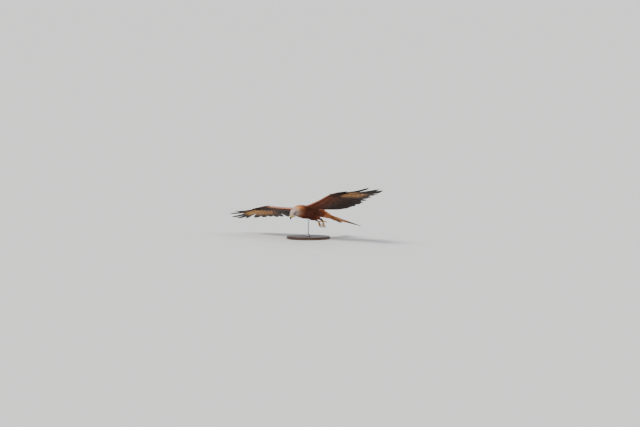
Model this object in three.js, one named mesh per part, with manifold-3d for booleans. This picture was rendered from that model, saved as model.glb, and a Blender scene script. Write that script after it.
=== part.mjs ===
// A life-size red kite, gliding and looking down, on a plain display stand.
// Millimetres, +Z up. The stand's underside is at the origin. The bird itself is modelled level, facing -Y,
// with its own origin midway between the shoulders, and is then banked and set on the rod.

import * as THREE from "three";
import { mergeVertices } from "three/addons/utils/BufferGeometryUtils.js";
import Module from "manifold-3d";

const wasm = await Module();
wasm.setup();

// Driving sizes
const GAP = 0.3;
const WINGTIP_X = 805;
const WRIST_X = 318;
const HAND_END_X = 446;
const TORSO_END_Y = 148;
const TAIL_OUTER_LENGTH = 330;
const TAIL_FORK_DEPTH = 82;
const TAIL_SPREAD_DEG = 17.5;
const TAIL_DROOP_DEG = 12.5;
const TAIL_TWIST_DEG = 11;
const EYE_RADIUS = 6.4;
const VANE_THICKNESS = 0.9;
const VANE_TIP_THICKNESS = 0.5;
const VANE_TILT = 0.085;

// The bank on the stand: each row is one of the bird's own axes in the stand's frame
const BIRD_LEFT = new THREE.Vector3(0.9887, 0.0098, 0.1508);
const BIRD_BACK = new THREE.Vector3(0.0121, 0.9898, -0.1442);
const BIRD_HEIGHT = 212;
const BELLY_POINT = new THREE.Vector3(0, 44, -75);

const BASE_RADIUS = 150;
const BASE_THICKNESS = 18;
const BASE_CHAMFER = 3;
const ROD_RADIUS = 5;
const COLLAR_RADIUS = 14;
const COLLAR_HEIGHT = 14;
const COLLAR_CHAMFER = 3;

const UP = new THREE.Vector3(0, 0, 1);
const radians = THREE.MathUtils.degToRad;
const mix = THREE.MathUtils.lerp;
const smooth = THREE.MathUtils.smoothstep;

// A seeded draw in -1..1, so that feathers differ a little but the same way each time
let seed = 7;
function vary(amount) {
  seed = (seed * 16807) % 2147483647;
  return amount * ((2 * seed) / 2147483647 - 1);
}

// A smooth curve through [place, value] pairs, read at x
function along(pairs, x) {
  const last = pairs.length - 1;
  let i = 0;
  while (i < last - 1 && x > pairs[i + 1][0]) i++;
  const [x0, v0] = pairs[i];
  const [x1, v1] = pairs[i + 1];
  const slope = (a, b) => (pairs[b][1] - pairs[a][1]) / (pairs[b][0] - pairs[a][0]);
  const start = slope(Math.max(i - 1, 0), i + 1) * (x1 - x0);
  const end = slope(i, Math.min(i + 2, last)) * (x1 - x0);
  const t = THREE.MathUtils.clamp((x - x0) / (x1 - x0), 0, 1);
  const t2 = t * t;
  const t3 = t2 * t;
  return (2 * t3 - 3 * t2 + 1) * v0 + (t3 - 2 * t2 + t) * start + (3 * t2 - 2 * t3) * v1 + (t3 - t2) * end;
}

// Solids

// A closed solid of points and triangles, with its faces turned outwards
function solidOf(points, triangles) {
  const geometry = new THREE.BufferGeometry();
  geometry.setAttribute("position", new THREE.Float32BufferAttribute(points.flatMap((p) => p.toArray()), 3));
  geometry.setIndex(triangles);
  return solidOfGeometry(geometry);
}

function solidOfGeometry(geometry) {
  const bare = geometry.clone();
  bare.deleteAttribute("normal");
  bare.deleteAttribute("uv");
  const merged = mergeVertices(bare, 1e-4);
  const vertProperties = new Float32Array(merged.attributes.position.array);
  const triVerts = new Uint32Array(merged.index.array);
  const make = () => new wasm.Manifold(new wasm.Mesh({ numProp: 3, vertProperties, triVerts }));
  const made = make();
  if (made.volume() >= 0) return made;
  for (let i = 0; i < triVerts.length; i += 3) {
    [triVerts[i + 1], triVerts[i + 2]] = [triVerts[i + 2], triVerts[i + 1]];
  }
  return make();
}

// A skin through rings of the same number of points, closed at both ends by a fan
function loft(rings) {
  const sides = rings[0].length;
  const points = rings.flat();
  const triangles = [];
  for (let r = 0; r < rings.length - 1; r++) {
    for (let s = 0; s < sides; s++) {
      const a = r * sides + s;
      const b = r * sides + ((s + 1) % sides);
      triangles.push(a, b, b + sides, a, b + sides, a + sides);
    }
  }
  const fan = (ring, first, turned) => {
    const centre = ring.reduce((sum, p) => sum.add(p), new THREE.Vector3()).divideScalar(sides);
    const hub = points.push(centre) - 1;
    for (let s = 0; s < sides; s++) {
      const pair = [first + s, first + ((s + 1) % sides)];
      triangles.push(hub, ...(turned ? pair : pair.reverse()));
    }
  };
  fan(rings[0], 0, false);
  fan(rings.at(-1), (rings.length - 1) * sides, true);
  return solidOf(points, triangles);
}

// A tube along a curve. shape(t) gives its half width, and its heights above and below the curve
function tube(curve, steps, sides, shape, upward = UP) {
  const rings = [];
  for (let i = 0; i <= steps; i++) {
    const t = i / steps;
    const centre = curve.getPoint(t);
    const across = new THREE.Vector3().crossVectors(curve.getTangent(t), upward).normalize();
    const over = new THREE.Vector3().crossVectors(across, curve.getTangent(t)).normalize();
    const { half, above, below } = shape(t);
    const ring = [];
    for (let s = 0; s < sides; s++) {
      const angle = (2 * Math.PI * s) / sides;
      const rise = Math.sin(angle) * (Math.sin(angle) > 0 ? above : below);
      ring.push(centre.clone().addScaledVector(across, Math.cos(angle) * half).addScaledVector(over, rise));
    }
    rings.push(ring);
  }
  return loft(rings);
}

function ellipsoid(centre, radii, turn = new THREE.Euler(), segments = [14, 9]) {
  const geometry = new THREE.SphereGeometry(1, ...segments);
  const place = new THREE.Matrix4().compose(centre, new THREE.Quaternion().setFromEuler(turn), radii);
  return solidOfGeometry(geometry.applyMatrix4(place));
}

const joined = (solids) => wasm.Manifold.union(solids);

// A named mesh of the largest body of a solid: a cut can leave slivers beside it
function meshOf(name, solid, material) {
  const [body] = solid.decompose().sort((a, b) => b.volume() - a.volume());
  const { numProp, vertProperties, triVerts } = body.getMesh();
  const positions = [];
  for (let v = 0; v < vertProperties.length / numProp; v++) {
    positions.push(...vertProperties.subarray(v * numProp, v * numProp + 3));
  }
  const geometry = new THREE.BufferGeometry();
  geometry.setAttribute("position", new THREE.Float32BufferAttribute(positions, 3));
  geometry.setIndex(Array.from(triVerts));
  geometry.computeVertexNormals();
  const mesh = new THREE.Mesh(geometry, material);
  mesh.name = name;
  return mesh;
}

// Feathers

// One flat vane along a bent shaft. side is 1 on the left and -1 on the right: the outer web is on that side.
// The outer web lies higher than the inner one by tilt, so that neighbours overlap like shingles.
function vane(values) {
  const { root, tip, side, steps, outer, inner, round, bow = 0, arch = 0, notch = 1 } = values;
  const { tilt = VANE_TILT, thick = VANE_THICKNESS } = values;
  const shaft = new THREE.Vector3().subVectors(tip, root);
  const away = new THREE.Vector3().crossVectors(shaft, UP).normalize().multiplyScalar(side);
  const middle = root.clone().lerp(tip, 0.5).addScaledVector(away, -2 * bow);
  middle.z += 2 * arch;
  const curve = new THREE.QuadraticBezierCurve3(root, middle, tip);
  const points = [];
  const triangles = [];
  for (let i = 0; i <= steps; i++) {
    const t = 1 - (1 - i / steps) ** 1.25;
    const centre = curve.getPoint(t);
    const across = new THREE.Vector3().crossVectors(curve.getTangent(t), UP).normalize().multiplyScalar(side);
    const end = t > round ? Math.sqrt(Math.max(0, 1 - ((t - round) / (1 - round)) ** 2)) : 1;
    const open = mix(0.3, 1, smooth(t, 0, 0.32)) * Math.max(end, 0.14);
    const narrow = notch < 1 ? 1 - 0.52 * smooth(t, notch - 0.07, notch + 0.07) : 1;
    const half = 0.5 * mix(thick, VANE_TIP_THICKNESS, t);
    const outward = outer * open * mix(1, narrow, 0.5);
    const inward = -inner * open * narrow;
    for (const [reach, lift] of [[outward, half], [inward, half], [inward, -half], [outward, -half]]) {
      const point = centre.clone().addScaledVector(across, reach);
      point.z += reach * tilt + lift;
      points.push(point);
    }
  }
  for (let i = 0; i < steps; i++) {
    const a = 4 * i;
    const b = a + 4;
    // The top and bottom faces are split along the same diagonal
    triangles.push(a, a + 1, b + 1, a, b + 1, b);
    triangles.push(a + 1, a + 2, b + 2, a + 1, b + 2, b + 1);
    triangles.push(a + 2, a + 3, b + 2, a + 3, b + 3, b + 2);
    triangles.push(a + 3, a, b, a + 3, b, b + 3);
  }
  const z = 4 * steps;
  triangles.push(0, 3, 2, 0, 2, 1, z, z + 1, z + 2, z, z + 2, z + 3);
  return solidOf(points, triangles);
}

// The wing: all sizes are for the left one, with x out to the tip, and side turns them for the right

const LEADING_EDGE = [[20, -30], [110, -36], [220, -44], [WRIST_X, -54], [400, -49], [HAND_END_X, -40]];
const FLESH_REAR = [[20, 92], [90, 84], [150, 64], [220, 36], [WRIST_X, 10], [400, -18], [HAND_END_X, -30]];
const FLESH_THICKNESS = [[20, 34], [90, 27], [220, 19], [WRIST_X, 15], [400, 9], [HAND_END_X, 4]];

// Fan angle from straight back, and visible length, against the feather's number counted from the wrist
const PRIMARY_ANGLE = [[1, 33], [3, 48], [5, 65], [7, 79], [8, 83], [9, 86.5], [10, 89.5]];
const PRIMARY_LENGTH = [[1, 242], [3, 260], [5, 308], [7, 388], [8, 400], [9, 380], [10, 285]];
const SECONDARY_ANGLE = [[1, 25], [5, 13], [9, 0], [13, -11]];
const SECONDARY_LENGTH = [[1, 250], [5, 226], [9, 200], [13, 166]];
const PRIMARIES = 10;
const SECONDARIES = 13;
const TERTIALS = 4;

// The heights of the wing's front, of the feather tips behind the arm, and of the primaries' tips. The left
// wing is held higher and flatter, and the right one lower, as the bird banks.
const WING_HEIGHT = {
  left: [[20, -2], [90, 6], [220, 27], [WRIST_X, 46], [420, 57], [620, 52], [WINGTIP_X, 44]],
  right: [[20, -6], [90, 0], [220, 18], [WRIST_X, 34], [420, 40], [620, 40], [WINGTIP_X, 38]],
};
const TRAILING_HEIGHT = {
  left: [[40, 0], [120, -2], [200, 1], [320, 15], [430, 34], [560, 42], [700, 42]],
  right: [[40, -22], [120, -32], [200, -26], [320, -4], [430, 14], [560, 20], [700, 14]],
};
const PRIMARY_TIP_HEIGHT = {
  left: [[1, 40], [4, 41], [6, 40], [7, 41], [8, 38], [9, 44], [10, 60]],
  right: [[1, 24], [4, 20], [6, 13], [7, 12], [8, 20], [9, 42], [10, 48]],
};
const heldAt = (table, side, place) => along(side > 0 ? table.left : table.right, place);

const leftPoint = (side, x, y, z) => new THREE.Vector3(side * x, y, z);

// A point at some reach from a root, at an angle in degrees from straight back towards the tip
function fanned(side, root, angle, length, height) {
  const a = radians(angle);
  return leftPoint(side, side * root.x + length * Math.sin(a), root.y + length * Math.cos(a), height);
}

function wingFlesh(side) {
  const rings = [];
  const stations = 10;
  const sides = 10;
  for (let i = 0; i <= stations; i++) {
    const x = mix(20, HAND_END_X, i / stations);
    const front = along(LEADING_EDGE, x);
    const rear = along(FLESH_REAR, x);
    const thick = along(FLESH_THICKNESS, x);
    const ring = [];
    for (let s = 0; s < sides; s++) {
      const angle = (2 * Math.PI * s) / sides;
      const back = 0.5 - 0.5 * Math.cos(angle);
      const bulge = Math.sin(angle) * mix(1, 0.42, back) * (Math.sin(angle) > 0 ? 0.62 : 0.4);
      const sink = -6 * back * back;
      const height = heldAt(WING_HEIGHT, side, x) + bulge * thick + sink;
      ring.push(leftPoint(side, x, mix(front, rear, back), height));
    }
    rings.push(ring);
  }
  return loft(rings);
}

// The row of flight feathers, each as the values that its vane and its coverts need
function flightFeathers(side) {
  const row = [];
  for (let n = PRIMARIES; n >= 1; n--) {
    const x = mix(WRIST_X + 8, HAND_END_X - 14, (n - 1) / (PRIMARIES - 1));
    row.push({
      kind: "primary",
      n,
      x,
      y: along(LEADING_EDGE, x) + mix(27, 10, (n - 1) / (PRIMARIES - 1)),
      z: heldAt(WING_HEIGHT, side, x) - 2,
      angle: along(PRIMARY_ANGLE, n),
      length: along(PRIMARY_LENGTH, n),
      tipZ: heldAt(PRIMARY_TIP_HEIGHT, side, n),
      outer: n >= 7 ? 9 : 12,
      inner: n >= 7 ? 25 : 27,
      notch: n >= 6 ? mix(0.66, 0.5, (n - 6) / 4) : 1,
      bow: n >= 6 ? -7 : -4,
      arch: n >= 7 ? -9 : 2,
    });
  }
  for (let n = 1; n <= SECONDARIES; n++) {
    const q = (n - 1) / (SECONDARIES - 1);
    const x = mix(WRIST_X - 8, 146, q);
    row.push({
      kind: "secondary",
      n,
      x,
      y: mix(-22, 46, q),
      z: heldAt(WING_HEIGHT, side, x) - 3,
      angle: along(SECONDARY_ANGLE, n),
      length: along(SECONDARY_LENGTH, n),
      outer: 13,
      inner: 25,
      notch: 1,
      bow: -3,
      arch: 3,
    });
  }
  for (let n = 1; n <= TERTIALS; n++) {
    const q = n / TERTIALS;
    const x = mix(146, 82, q);
    row.push({
      kind: "tertial",
      n,
      x,
      y: mix(46, 52, q),
      z: heldAt(WING_HEIGHT, side, x) - 3,
      angle: mix(-11, -9, q),
      length: mix(158, 116, q),
      outer: 14,
      inner: 22,
      notch: 1,
      bow: 0,
      arch: 3,
    });
  }
  return row;
}

function flightVane(side, f) {
  const root = leftPoint(side, f.x, f.y, f.z);
  const tip = fanned(side, root, f.angle + vary(0.5), f.length + vary(4), 0);
  tip.z = f.tipZ ?? heldAt(TRAILING_HEIGHT, side, side * tip.x);
  return vane({ ...f, root, tip, side, steps: f.notch < 1 ? 6 : 4, round: f.notch < 1 ? 0.8 : 0.86 });
}

// A covert is rooted in the flesh and lies along its flight feather. Its tip is above or below it by lift.
function covertVane(side, f, { length, lift, wide }) {
  const root = leftPoint(side, f.x, f.y, f.z + 0.25 * lift);
  const far = fanned(side, root, f.angle, f.length, f.tipZ ?? 0);
  if (f.tipZ === undefined) far.z = heldAt(TRAILING_HEIGHT, side, side * far.x);
  const t = length / f.length;
  const tip = leftPoint(side, f.x, f.y, f.z).lerp(far, t);
  tip.z += 4 * f.arch * t * (1 - t) + lift;
  return vane({ root, tip, side, outer: wide, inner: wide * 1.25, steps: 2, round: 0.55, thick: 1 });
}

function wing(side) {
  const row = flightFeathers(side);
  const pieces = [wingFlesh(side)];
  for (const f of row) pieces.push(flightVane(side, f));
  for (const [i, f] of row.entries()) {
    if (i === 0) continue;
    const arm = f.kind !== "primary";
    const upper = { length: (arm ? 98 : 88) + vary(5), lift: 4.6, wide: arm ? 11 : 9 };
    const under = { length: (arm ? 96 : 84) + vary(4), lift: -5.4, wide: 13 };
    pieces.push(covertVane(side, f, upper));
    if (i % 2) pieces.push(covertVane(side, f, under));
  }
  // The alula: three short feathers on the wrist's front edge
  for (let n = 0; n < 3; n++) {
    const height = heldAt(WING_HEIGHT, side, WRIST_X) + 3 - 1.4 * n;
    const root = leftPoint(side, WRIST_X - 6 + 9 * n, along(LEADING_EDGE, WRIST_X) + 7, height);
    const tip = fanned(side, root, 88 + 1.5 * n, 74 + 13 * n, root.z + 3);
    pieces.push(vane({ root, tip, side, outer: 5, inner: 11, steps: 3, round: 0.6 }));
  }
  return joined(pieces);
}

// Body, neck and head: one form along the spine, parted with thin cuts

// Place on the spine, half width, and heights above and below it, from the tail's root to the bill
const SPINE = [
  { at: [0, 172, -9], half: 32, above: 19, below: 37 },
  { at: [0, 142, -9], half: 39, above: 24, below: 44 },
  { at: [0, 100, -12], half: 46, above: 30, below: 53 },
  { at: [0, 55, -14], half: 52, above: 36, below: 59 },
  { at: [0, 10, -15], half: 55, above: 38, below: 61 },
  { at: [0, -28, -16], half: 47, above: 37, below: 56 },
  { at: [0.5, -54, -20], half: 38, above: 34, below: 50 },
  { at: [2.5, -73, -29], half: 30, above: 30, below: 34 },
  { at: [5.5, -89, -41], half: 26.5, above: 27, below: 24 },
  { at: [9, -101, -53], half: 23, above: 22, below: 20 },
  { at: [12.5, -111, -64], half: 15.5, above: 13, below: 14 },
  { at: [14, -116, -70], half: 9, above: 8, below: 9 },
];
const SPINE_CURVE = new THREE.CatmullRomCurve3(SPINE.map(({ at }) => new THREE.Vector3(...at)));
const NECK_AT = 5.9 / 11;
const HEAD_AT = 7.1 / 11;

function spineShape(key, grow = 0) {
  return (t) => along(SPINE.map((station, i) => [i / (SPINE.length - 1), station[key]]), t) + grow;
}

function trunk(grow = 0) {
  const [half, above, below] = ["half", "above", "below"].map((key) => spineShape(key, grow));
  return tube(SPINE_CURVE, 28, 18, (t) => ({ half: half(t), above: above(t), below: below(t) }));
}

// The part of a solid between two places on the spine, with half the gap left at each cut
function between(solid, from, to) {
  let kept = solid;
  for (const [t, sense] of [[from, 1], [to, -1]]) {
    if (t === null) continue;
    const normal = SPINE_CURVE.getTangent(t).multiplyScalar(sense);
    const offset = normal.dot(SPINE_CURVE.getPoint(t)) + GAP / 2;
    kept = kept.trimByPlane(normal.toArray(), offset);
  }
  return kept;
}

// The head's own frame: forward along the bill, left, and up through the crown
const BILL_ROOT = SPINE_CURVE.getPoint(0.985);
const FORWARD = new THREE.Vector3(0.17, -0.66, -0.73).normalize();
const HEAD_LEFT = new THREE.Vector3().crossVectors(UP, FORWARD).normalize();
const HEAD_UP = new THREE.Vector3().crossVectors(FORWARD, HEAD_LEFT).normalize();
const HEAD_TURN = new THREE.Matrix4().makeBasis(HEAD_LEFT, FORWARD.clone().negate(), HEAD_UP);
const HEAD_EULER = new THREE.Euler().setFromRotationMatrix(HEAD_TURN);

// A point of the head: out to the left, forward of the bill's root, and up
function headPoint(left, forward, up) {
  return BILL_ROOT.clone()
    .addScaledVector(HEAD_LEFT, left)
    .addScaledVector(FORWARD, forward)
    .addScaledVector(HEAD_UP, up);
}

const EYE_FORWARD = -17;
const EYE_UP = 4.5;
const EYE_OUT = 15.6;
const eyeCentre = (side) => headPoint(side * EYE_OUT, EYE_FORWARD, EYE_UP);
const eyeBall = (side, grow = 0) =>
  ellipsoid(eyeCentre(side), new THREE.Vector3().setScalar(EYE_RADIUS + grow), HEAD_EULER, [14, 9]);

// The ring of lid round an eye, and the brow that shades it
function lids(side) {
  const ring = new THREE.TorusGeometry(EYE_RADIUS - 0.4, 1.3, 5, 12);
  const outwards = HEAD_LEFT.clone()
    .multiplyScalar(side)
    .addScaledVector(FORWARD, 0.32)
    .addScaledVector(HEAD_UP, 0.05)
    .normalize();
  ring.applyQuaternion(new THREE.Quaternion().setFromUnitVectors(UP, outwards));
  const centre = eyeCentre(side).addScaledVector(outwards, 3.1);
  ring.translate(...centre.toArray());
  const above = headPoint(side * 15.5, EYE_FORWARD - 1, EYE_UP + 7.4);
  const brow = ellipsoid(above, new THREE.Vector3(5, 14, 3), HEAD_EULER, [10, 6]);
  return [solidOfGeometry(ring), brow];
}

function head() {
  const cheeks = [-1, 1].map((side) =>
    ellipsoid(headPoint(side * 10.5, -15, -7), new THREE.Vector3(11, 17, 9.5), HEAD_EULER, [12, 8]),
  );
  const chin = ellipsoid(headPoint(0, -8, -8.4), new THREE.Vector3(7.5, 11, 4.5), HEAD_EULER, [10, 6]);
  const whole = joined([trunk(), ...cheeks, chin, ...lids(1), ...lids(-1)]);
  return between(whole, HEAD_AT, null)
    .subtract(joined([eyeBall(1, GAP), eyeBall(-1, GAP)]))
    .subtract(joined([wholeUpper(GAP), lowerBill(GAP)]));
}

// The bill, in the head's frame: [forward, up] along its middle
const BILL_MIDDLE = [[-4, 1.6], [6, 2.6], [15, 1.6], [22, -2.4], [25, -8.6], [24, -13.5]];
const CERE_END = 10;

function billTube(places, shape, steps, grow) {
  const curve = new THREE.CatmullRomCurve3(places.map(([forward, up]) => headPoint(0, forward, up)));
  return tube(curve, steps, 12, (t) => {
    const { half, above, below } = shape(t);
    return { half: half + grow, above: above + grow, below: below + grow };
  }, HEAD_UP.clone().addScaledVector(FORWARD, 0.8));
}

const wholeUpper = (grow) =>
  billTube(BILL_MIDDLE, (t) => ({
    half: along([[0, 9.4], [0.3, 7.6], [0.6, 5.2], [0.85, 2.6], [1, 0.7]], t),
    above: along([[0, 7.6], [0.3, 6.6], [0.6, 5], [0.85, 3], [1, 0.7]], t),
    below: along([[0, 4.6], [0.3, 4.2], [0.6, 4], [0.85, 2.4], [1, 0.6]], t),
  }), 10, grow);

const planeAt = (forward) => FORWARD.dot(headPoint(0, forward, 0));

function cere() {
  const skin = wholeUpper(0).trimByPlane(FORWARD.clone().negate().toArray(), GAP / 2 - planeAt(CERE_END));
  return skin.subtract(nostrils());
}

function upperBill() {
  return wholeUpper(0).trimByPlane(FORWARD.toArray(), planeAt(CERE_END) + GAP / 2);
}

function nostrils() {
  return joined([-1, 1].map((side) =>
    ellipsoid(headPoint(side * 7.6, 6.2, 4.2), new THREE.Vector3(1.6, 1.9, 1.1), HEAD_EULER, [8, 6]),
  ));
}

function lowerBill(grow) {
  const shape = (t) => ({
    half: along([[0, 8.2], [0.5, 6], [0.85, 3.4], [1, 1.6]], t),
    above: along([[0, 1.6], [0.5, 1.5], [1, 0.7]], t),
    below: along([[0, 3], [0.5, 3.1], [1, 0.9]], t),
  });
  return billTube([[-4, -4.6], [5, -4.4], [13, -4.6], [19, -6.4]], shape, 6, grow);
}

// The tail: six pairs of feathers, the middle pair on top, fanned about their root

const TAIL_ROOT = new THREE.Vector3(0, 118, -6);
const TAIL_PAIRS = 6;

function tail() {
  const turn = new THREE.Matrix4()
    .makeTranslation(TAIL_ROOT)
    .multiply(new THREE.Matrix4().makeRotationX(-radians(TAIL_DROOP_DEG)))
    .multiply(new THREE.Matrix4().makeRotationY(radians(TAIL_TWIST_DEG)));
  const vanes = [];
  for (const side of [1, -1]) {
    for (let n = 0; n < TAIL_PAIRS; n++) {
      const q = n / (TAIL_PAIRS - 1);
      const angle = mix(1.2, TAIL_SPREAD_DEG, q) + vary(0.3);
      const length = TAIL_OUTER_LENGTH - TAIL_FORK_DEPTH * (1 - q ** 1.6) + vary(2);
      const lift = n === 0 ? 3.4 - 0.9 * side : 0;
      const root = leftPoint(side, 4 + 16 * q, mix(8, 0, q), 0.4 + lift);
      const tip = fanned(side, root, angle, length, lift + mix(0, 2, q));
      const half = mix(17, 12, q);
      const web = n === 0 ? { outer: 15, inner: 5, tilt: 0 } : { outer: half - 3, inner: half + 7 };
      vanes.push(vane({ root, tip, side, ...web, bow: mix(0, 5, q), arch: 1.5, steps: 6, round: 0.88 }));
    }
  }
  const feathers = joined(vanes).transform(turn.toArray());
  // The tail coverts, above and below, are one tapered form round the roots
  const places = [[0, 128, -9], [0, 165, -12], [0, 205, -22], [0, 240, -35], [0, 268, -45]];
  const rise = new THREE.CatmullRomCurve3(places.map((p) => new THREE.Vector3(...p)));
  const twisted = new THREE.Vector3(Math.sin(radians(TAIL_TWIST_DEG)), 0, Math.cos(radians(TAIL_TWIST_DEG)));
  const coverts = tube(rise, 7, 14, (t) => ({
    half: along([[0, 40], [0.3, 35], [0.6, 29], [1, 11]], t),
    above: along([[0, 25], [0.3, 21], [0.7, 11], [1, 3]], t),
    below: along([[0, 44], [0.3, 36], [0.6, 24], [1, 3]], t),
  }), twisted);
  return joined([feathers, coverts]).trimByPlane([0, 1, 0], TORSO_END_Y + GAP / 2);
}

// Legs, hanging back below the belly

const LEGS = {
  left: {
    side: 1,
    hip: [28, 74, -36],
    knee: [31, 98, -56],
    heel: [31, 122, -66],
    ankle: [30, 152, -83],
    spread: 8,
  },
  right: {
    side: -1,
    hip: [28, 76, -36],
    knee: [31, 102, -54],
    heel: [31, 128, -63],
    ankle: [31, 164, -77],
    spread: 4,
  },
};
const TOES = [
  { name: "inner", swing: -30, length: 34, drop: 0.8 },
  { name: "middle", swing: -2, length: 43, drop: 0.7 },
  { name: "outer", swing: 28, length: 35, drop: 0.85 },
  { name: "hind", swing: 176, length: 23, drop: 0.9 },
];
const CLAW_LENGTH = 15;

const legPoint = ({ side }, [x, y, z]) => new THREE.Vector3(side * x, y, z);

const ACROSS_TOE = new THREE.Vector3(0.1, 0.9, 0.5);
const thighCurve = (leg) =>
  new THREE.CatmullRomCurve3([leg.hip, leg.knee, leg.heel].map((p) => legPoint(leg, p)));

function thigh(leg) {
  return tube(thighCurve(leg), 6, 10, (t) => ({
    half: along([[0, 24], [0.45, 20], [0.8, 12], [1, 5.4]], t),
    above: along([[0, 26], [0.45, 20], [0.8, 11], [1, 5]], t),
    below: along([[0, 26], [0.45, 21], [0.8, 13], [1, 5.6]], t),
  })).subtract(trunk(GAP));
}

// A toe leaves the ankle, bends down, and its claw goes on from its end
function toePath(leg, toe) {
  const ankle = legPoint(leg, leg.ankle);
  const down = ankle.clone().sub(legPoint(leg, leg.heel)).normalize();
  const ahead = new THREE.Vector3(0, -1, 0).addScaledVector(down, down.y).normalize();
  const sideways = new THREE.Vector3().crossVectors(down, ahead).normalize();
  const a = radians(toe.swing + leg.spread) * leg.side;
  const out = ahead.clone().multiplyScalar(Math.cos(a)).addScaledVector(sideways, Math.sin(a));
  const place = (reach, depth) => ankle.clone().addScaledVector(out, reach).addScaledVector(down, depth);
  const l = toe.length;
  const fall = l * 0.92 * toe.drop;
  const end = place(l * 0.62, fall);
  return {
    bone: [place(0, -3), place(l * 0.3, l * 0.22), place(l * 0.55, l * 0.52 * toe.drop + 2), end],
    claw: [end, place(l * 0.6, fall + CLAW_LENGTH * 0.55), place(l * 0.42, fall + CLAW_LENGTH)],
  };
}

function toeTube(leg, toe) {
  const { bone, claw } = toePath(leg, toe);
  const normal = claw[1].clone().sub(claw[0]).normalize();
  const past = claw[0].clone().addScaledVector(normal, 2);
  return tube(new THREE.CatmullRomCurve3([...bone, past]), 5, 6, (t) => {
    const r = mix(4, 2.6, t) + 0.5 * Math.cos(t * 5 * Math.PI);
    return { half: r, above: r, below: r };
  }, ACROSS_TOE).trimByPlane(normal.clone().negate().toArray(), -normal.dot(claw[0]));
}

function foot(leg) {
  const heel = legPoint(leg, leg.heel);
  const ankle = legPoint(leg, leg.ankle);
  const span = ankle.clone().sub(heel);
  const start = heel.clone().addScaledVector(span, -0.2);
  const end = ankle.clone().addScaledVector(span, 0.06);
  const shank = tube(new THREE.LineCurve3(start, end), 5, 8, (t) => {
    const r = along([[0, 5.4], [0.35, 3.7], [0.75, 3.5], [1, 5.2]], t);
    return { half: r, above: r, below: r };
  });
  const normal = thighCurve(leg).getTangent(1);
  const cut = shank.trimByPlane(normal.toArray(), normal.dot(heel) + GAP);
  return joined([cut, ...TOES.map((toe) => toeTube(leg, toe))]);
}

function claw(leg, toe) {
  const path = toePath(leg, toe).claw;
  const curve = new THREE.QuadraticBezierCurve3(...path);
  const normal = path[1].clone().sub(path[0]).normalize();
  return tube(curve, 4, 5, (t) => {
    const r = mix(2.3, 0.4, t);
    return { half: r, above: r, below: r };
  }, ACROSS_TOE).trimByPlane(normal.toArray(), normal.dot(path[0]) + GAP);
}

// The stand

// An outline of [radius, height] pairs, turned about the upright axis
function turned(outline, segments) {
  const profile = outline.map(([radius, height]) => new THREE.Vector2(radius, height));
  return solidOfGeometry(new THREE.LatheGeometry(profile, segments).rotateX(Math.PI / 2));
}

function standBase() {
  const outline = [
    [0, 0],
    [BASE_RADIUS, 0],
    [BASE_RADIUS, BASE_THICKNESS - BASE_CHAMFER],
    [BASE_RADIUS - BASE_CHAMFER, BASE_THICKNESS],
    [0, BASE_THICKNESS],
  ];
  return turned(outline, 48);
}

function standCollar() {
  const low = BASE_THICKNESS + GAP;
  const bore = ROD_RADIUS + GAP;
  const outline = [
    [bore, low],
    [COLLAR_RADIUS, low],
    [COLLAR_RADIUS, low + COLLAR_HEIGHT - COLLAR_CHAMFER],
    [COLLAR_RADIUS - COLLAR_CHAMFER, low + COLLAR_HEIGHT],
    [bore, low + COLLAR_HEIGHT],
    [bore, low],
  ];
  return turned(outline, 24);
}

function standRod(bank) {
  const low = BASE_THICKNESS + GAP;
  const rod = new THREE.CylinderGeometry(ROD_RADIUS, ROD_RADIUS, BIRD_HEIGHT - low, 16)
    .rotateX(Math.PI / 2)
    .translate(0, 0, (BIRD_HEIGHT + low) / 2);
  return solidOfGeometry(rod).subtract(trunk(GAP).transform(bank.toArray()));
}

// Assembly

function material(color, roughness, metalness = 0) {
  return new THREE.MeshStandardMaterial({ color, roughness, metalness });
}

const MATERIALS = {
  body: material(0x7a3d22, 0.85),
  neck: material(0x9a7455, 0.85),
  head: material(0xb9b0a8, 0.85),
  wing: material(0x4a3226, 0.8),
  tail: material(0xa35a2c, 0.8),
  cere: material(0xd8a72e, 0.5),
  bill: material(0x2a2725, 0.4),
  eye: material(0xc9b36a, 0.1),
  leg: material(0xd8a72e, 0.6),
  claw: material(0x151414, 0.35),
  wood: material(0x3a2a20, 0.55),
  steel: material(0xb0b2b5, 0.3, 1),
};

// The bird's place: banked, with the belly point over the rod
const left = BIRD_LEFT.clone().normalize();
const back = BIRD_BACK.clone().addScaledVector(left, -left.dot(BIRD_BACK)).normalize();
const bank = new THREE.Matrix4().makeBasis(left, back, new THREE.Vector3().crossVectors(left, back));
const belly = BELLY_POINT.clone().applyMatrix4(bank);
bank.setPosition(-belly.x, -belly.y, BIRD_HEIGHT);

const bird = new THREE.Group();
bird.applyMatrix4(bank);

const torso = between(trunk(), null, NECK_AT).trimByPlane([0, -1, 0], GAP / 2 - TORSO_END_Y);
const socket = trunk(GAP);
bird.add(
  meshOf("torso", torso, MATERIALS.body),
  meshOf("neck", between(trunk(), NECK_AT, HEAD_AT), MATERIALS.neck),
  meshOf("head", head(), MATERIALS.head),
  meshOf("cere", cere(), MATERIALS.cere),
  meshOf("bill_upper", upperBill(), MATERIALS.bill),
  meshOf("bill_lower", lowerBill(0).subtract(wholeUpper(GAP)), MATERIALS.bill),
  meshOf("tail", tail(), MATERIALS.tail),
);
for (const [name, side] of [["left", 1], ["right", -1]]) {
  bird.add(
    meshOf("wing_" + name, wing(side).subtract(socket), MATERIALS.wing),
    meshOf("eye_" + name, eyeBall(side), MATERIALS.eye),
    meshOf("thigh_" + name, thigh(LEGS[name]), MATERIALS.body),
    meshOf("foot_" + name, foot(LEGS[name]), MATERIALS.leg),
  );
  for (const toe of TOES) bird.add(meshOf(`claw_${toe.name}_${name}`, claw(LEGS[name], toe), MATERIALS.claw));
}

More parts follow.
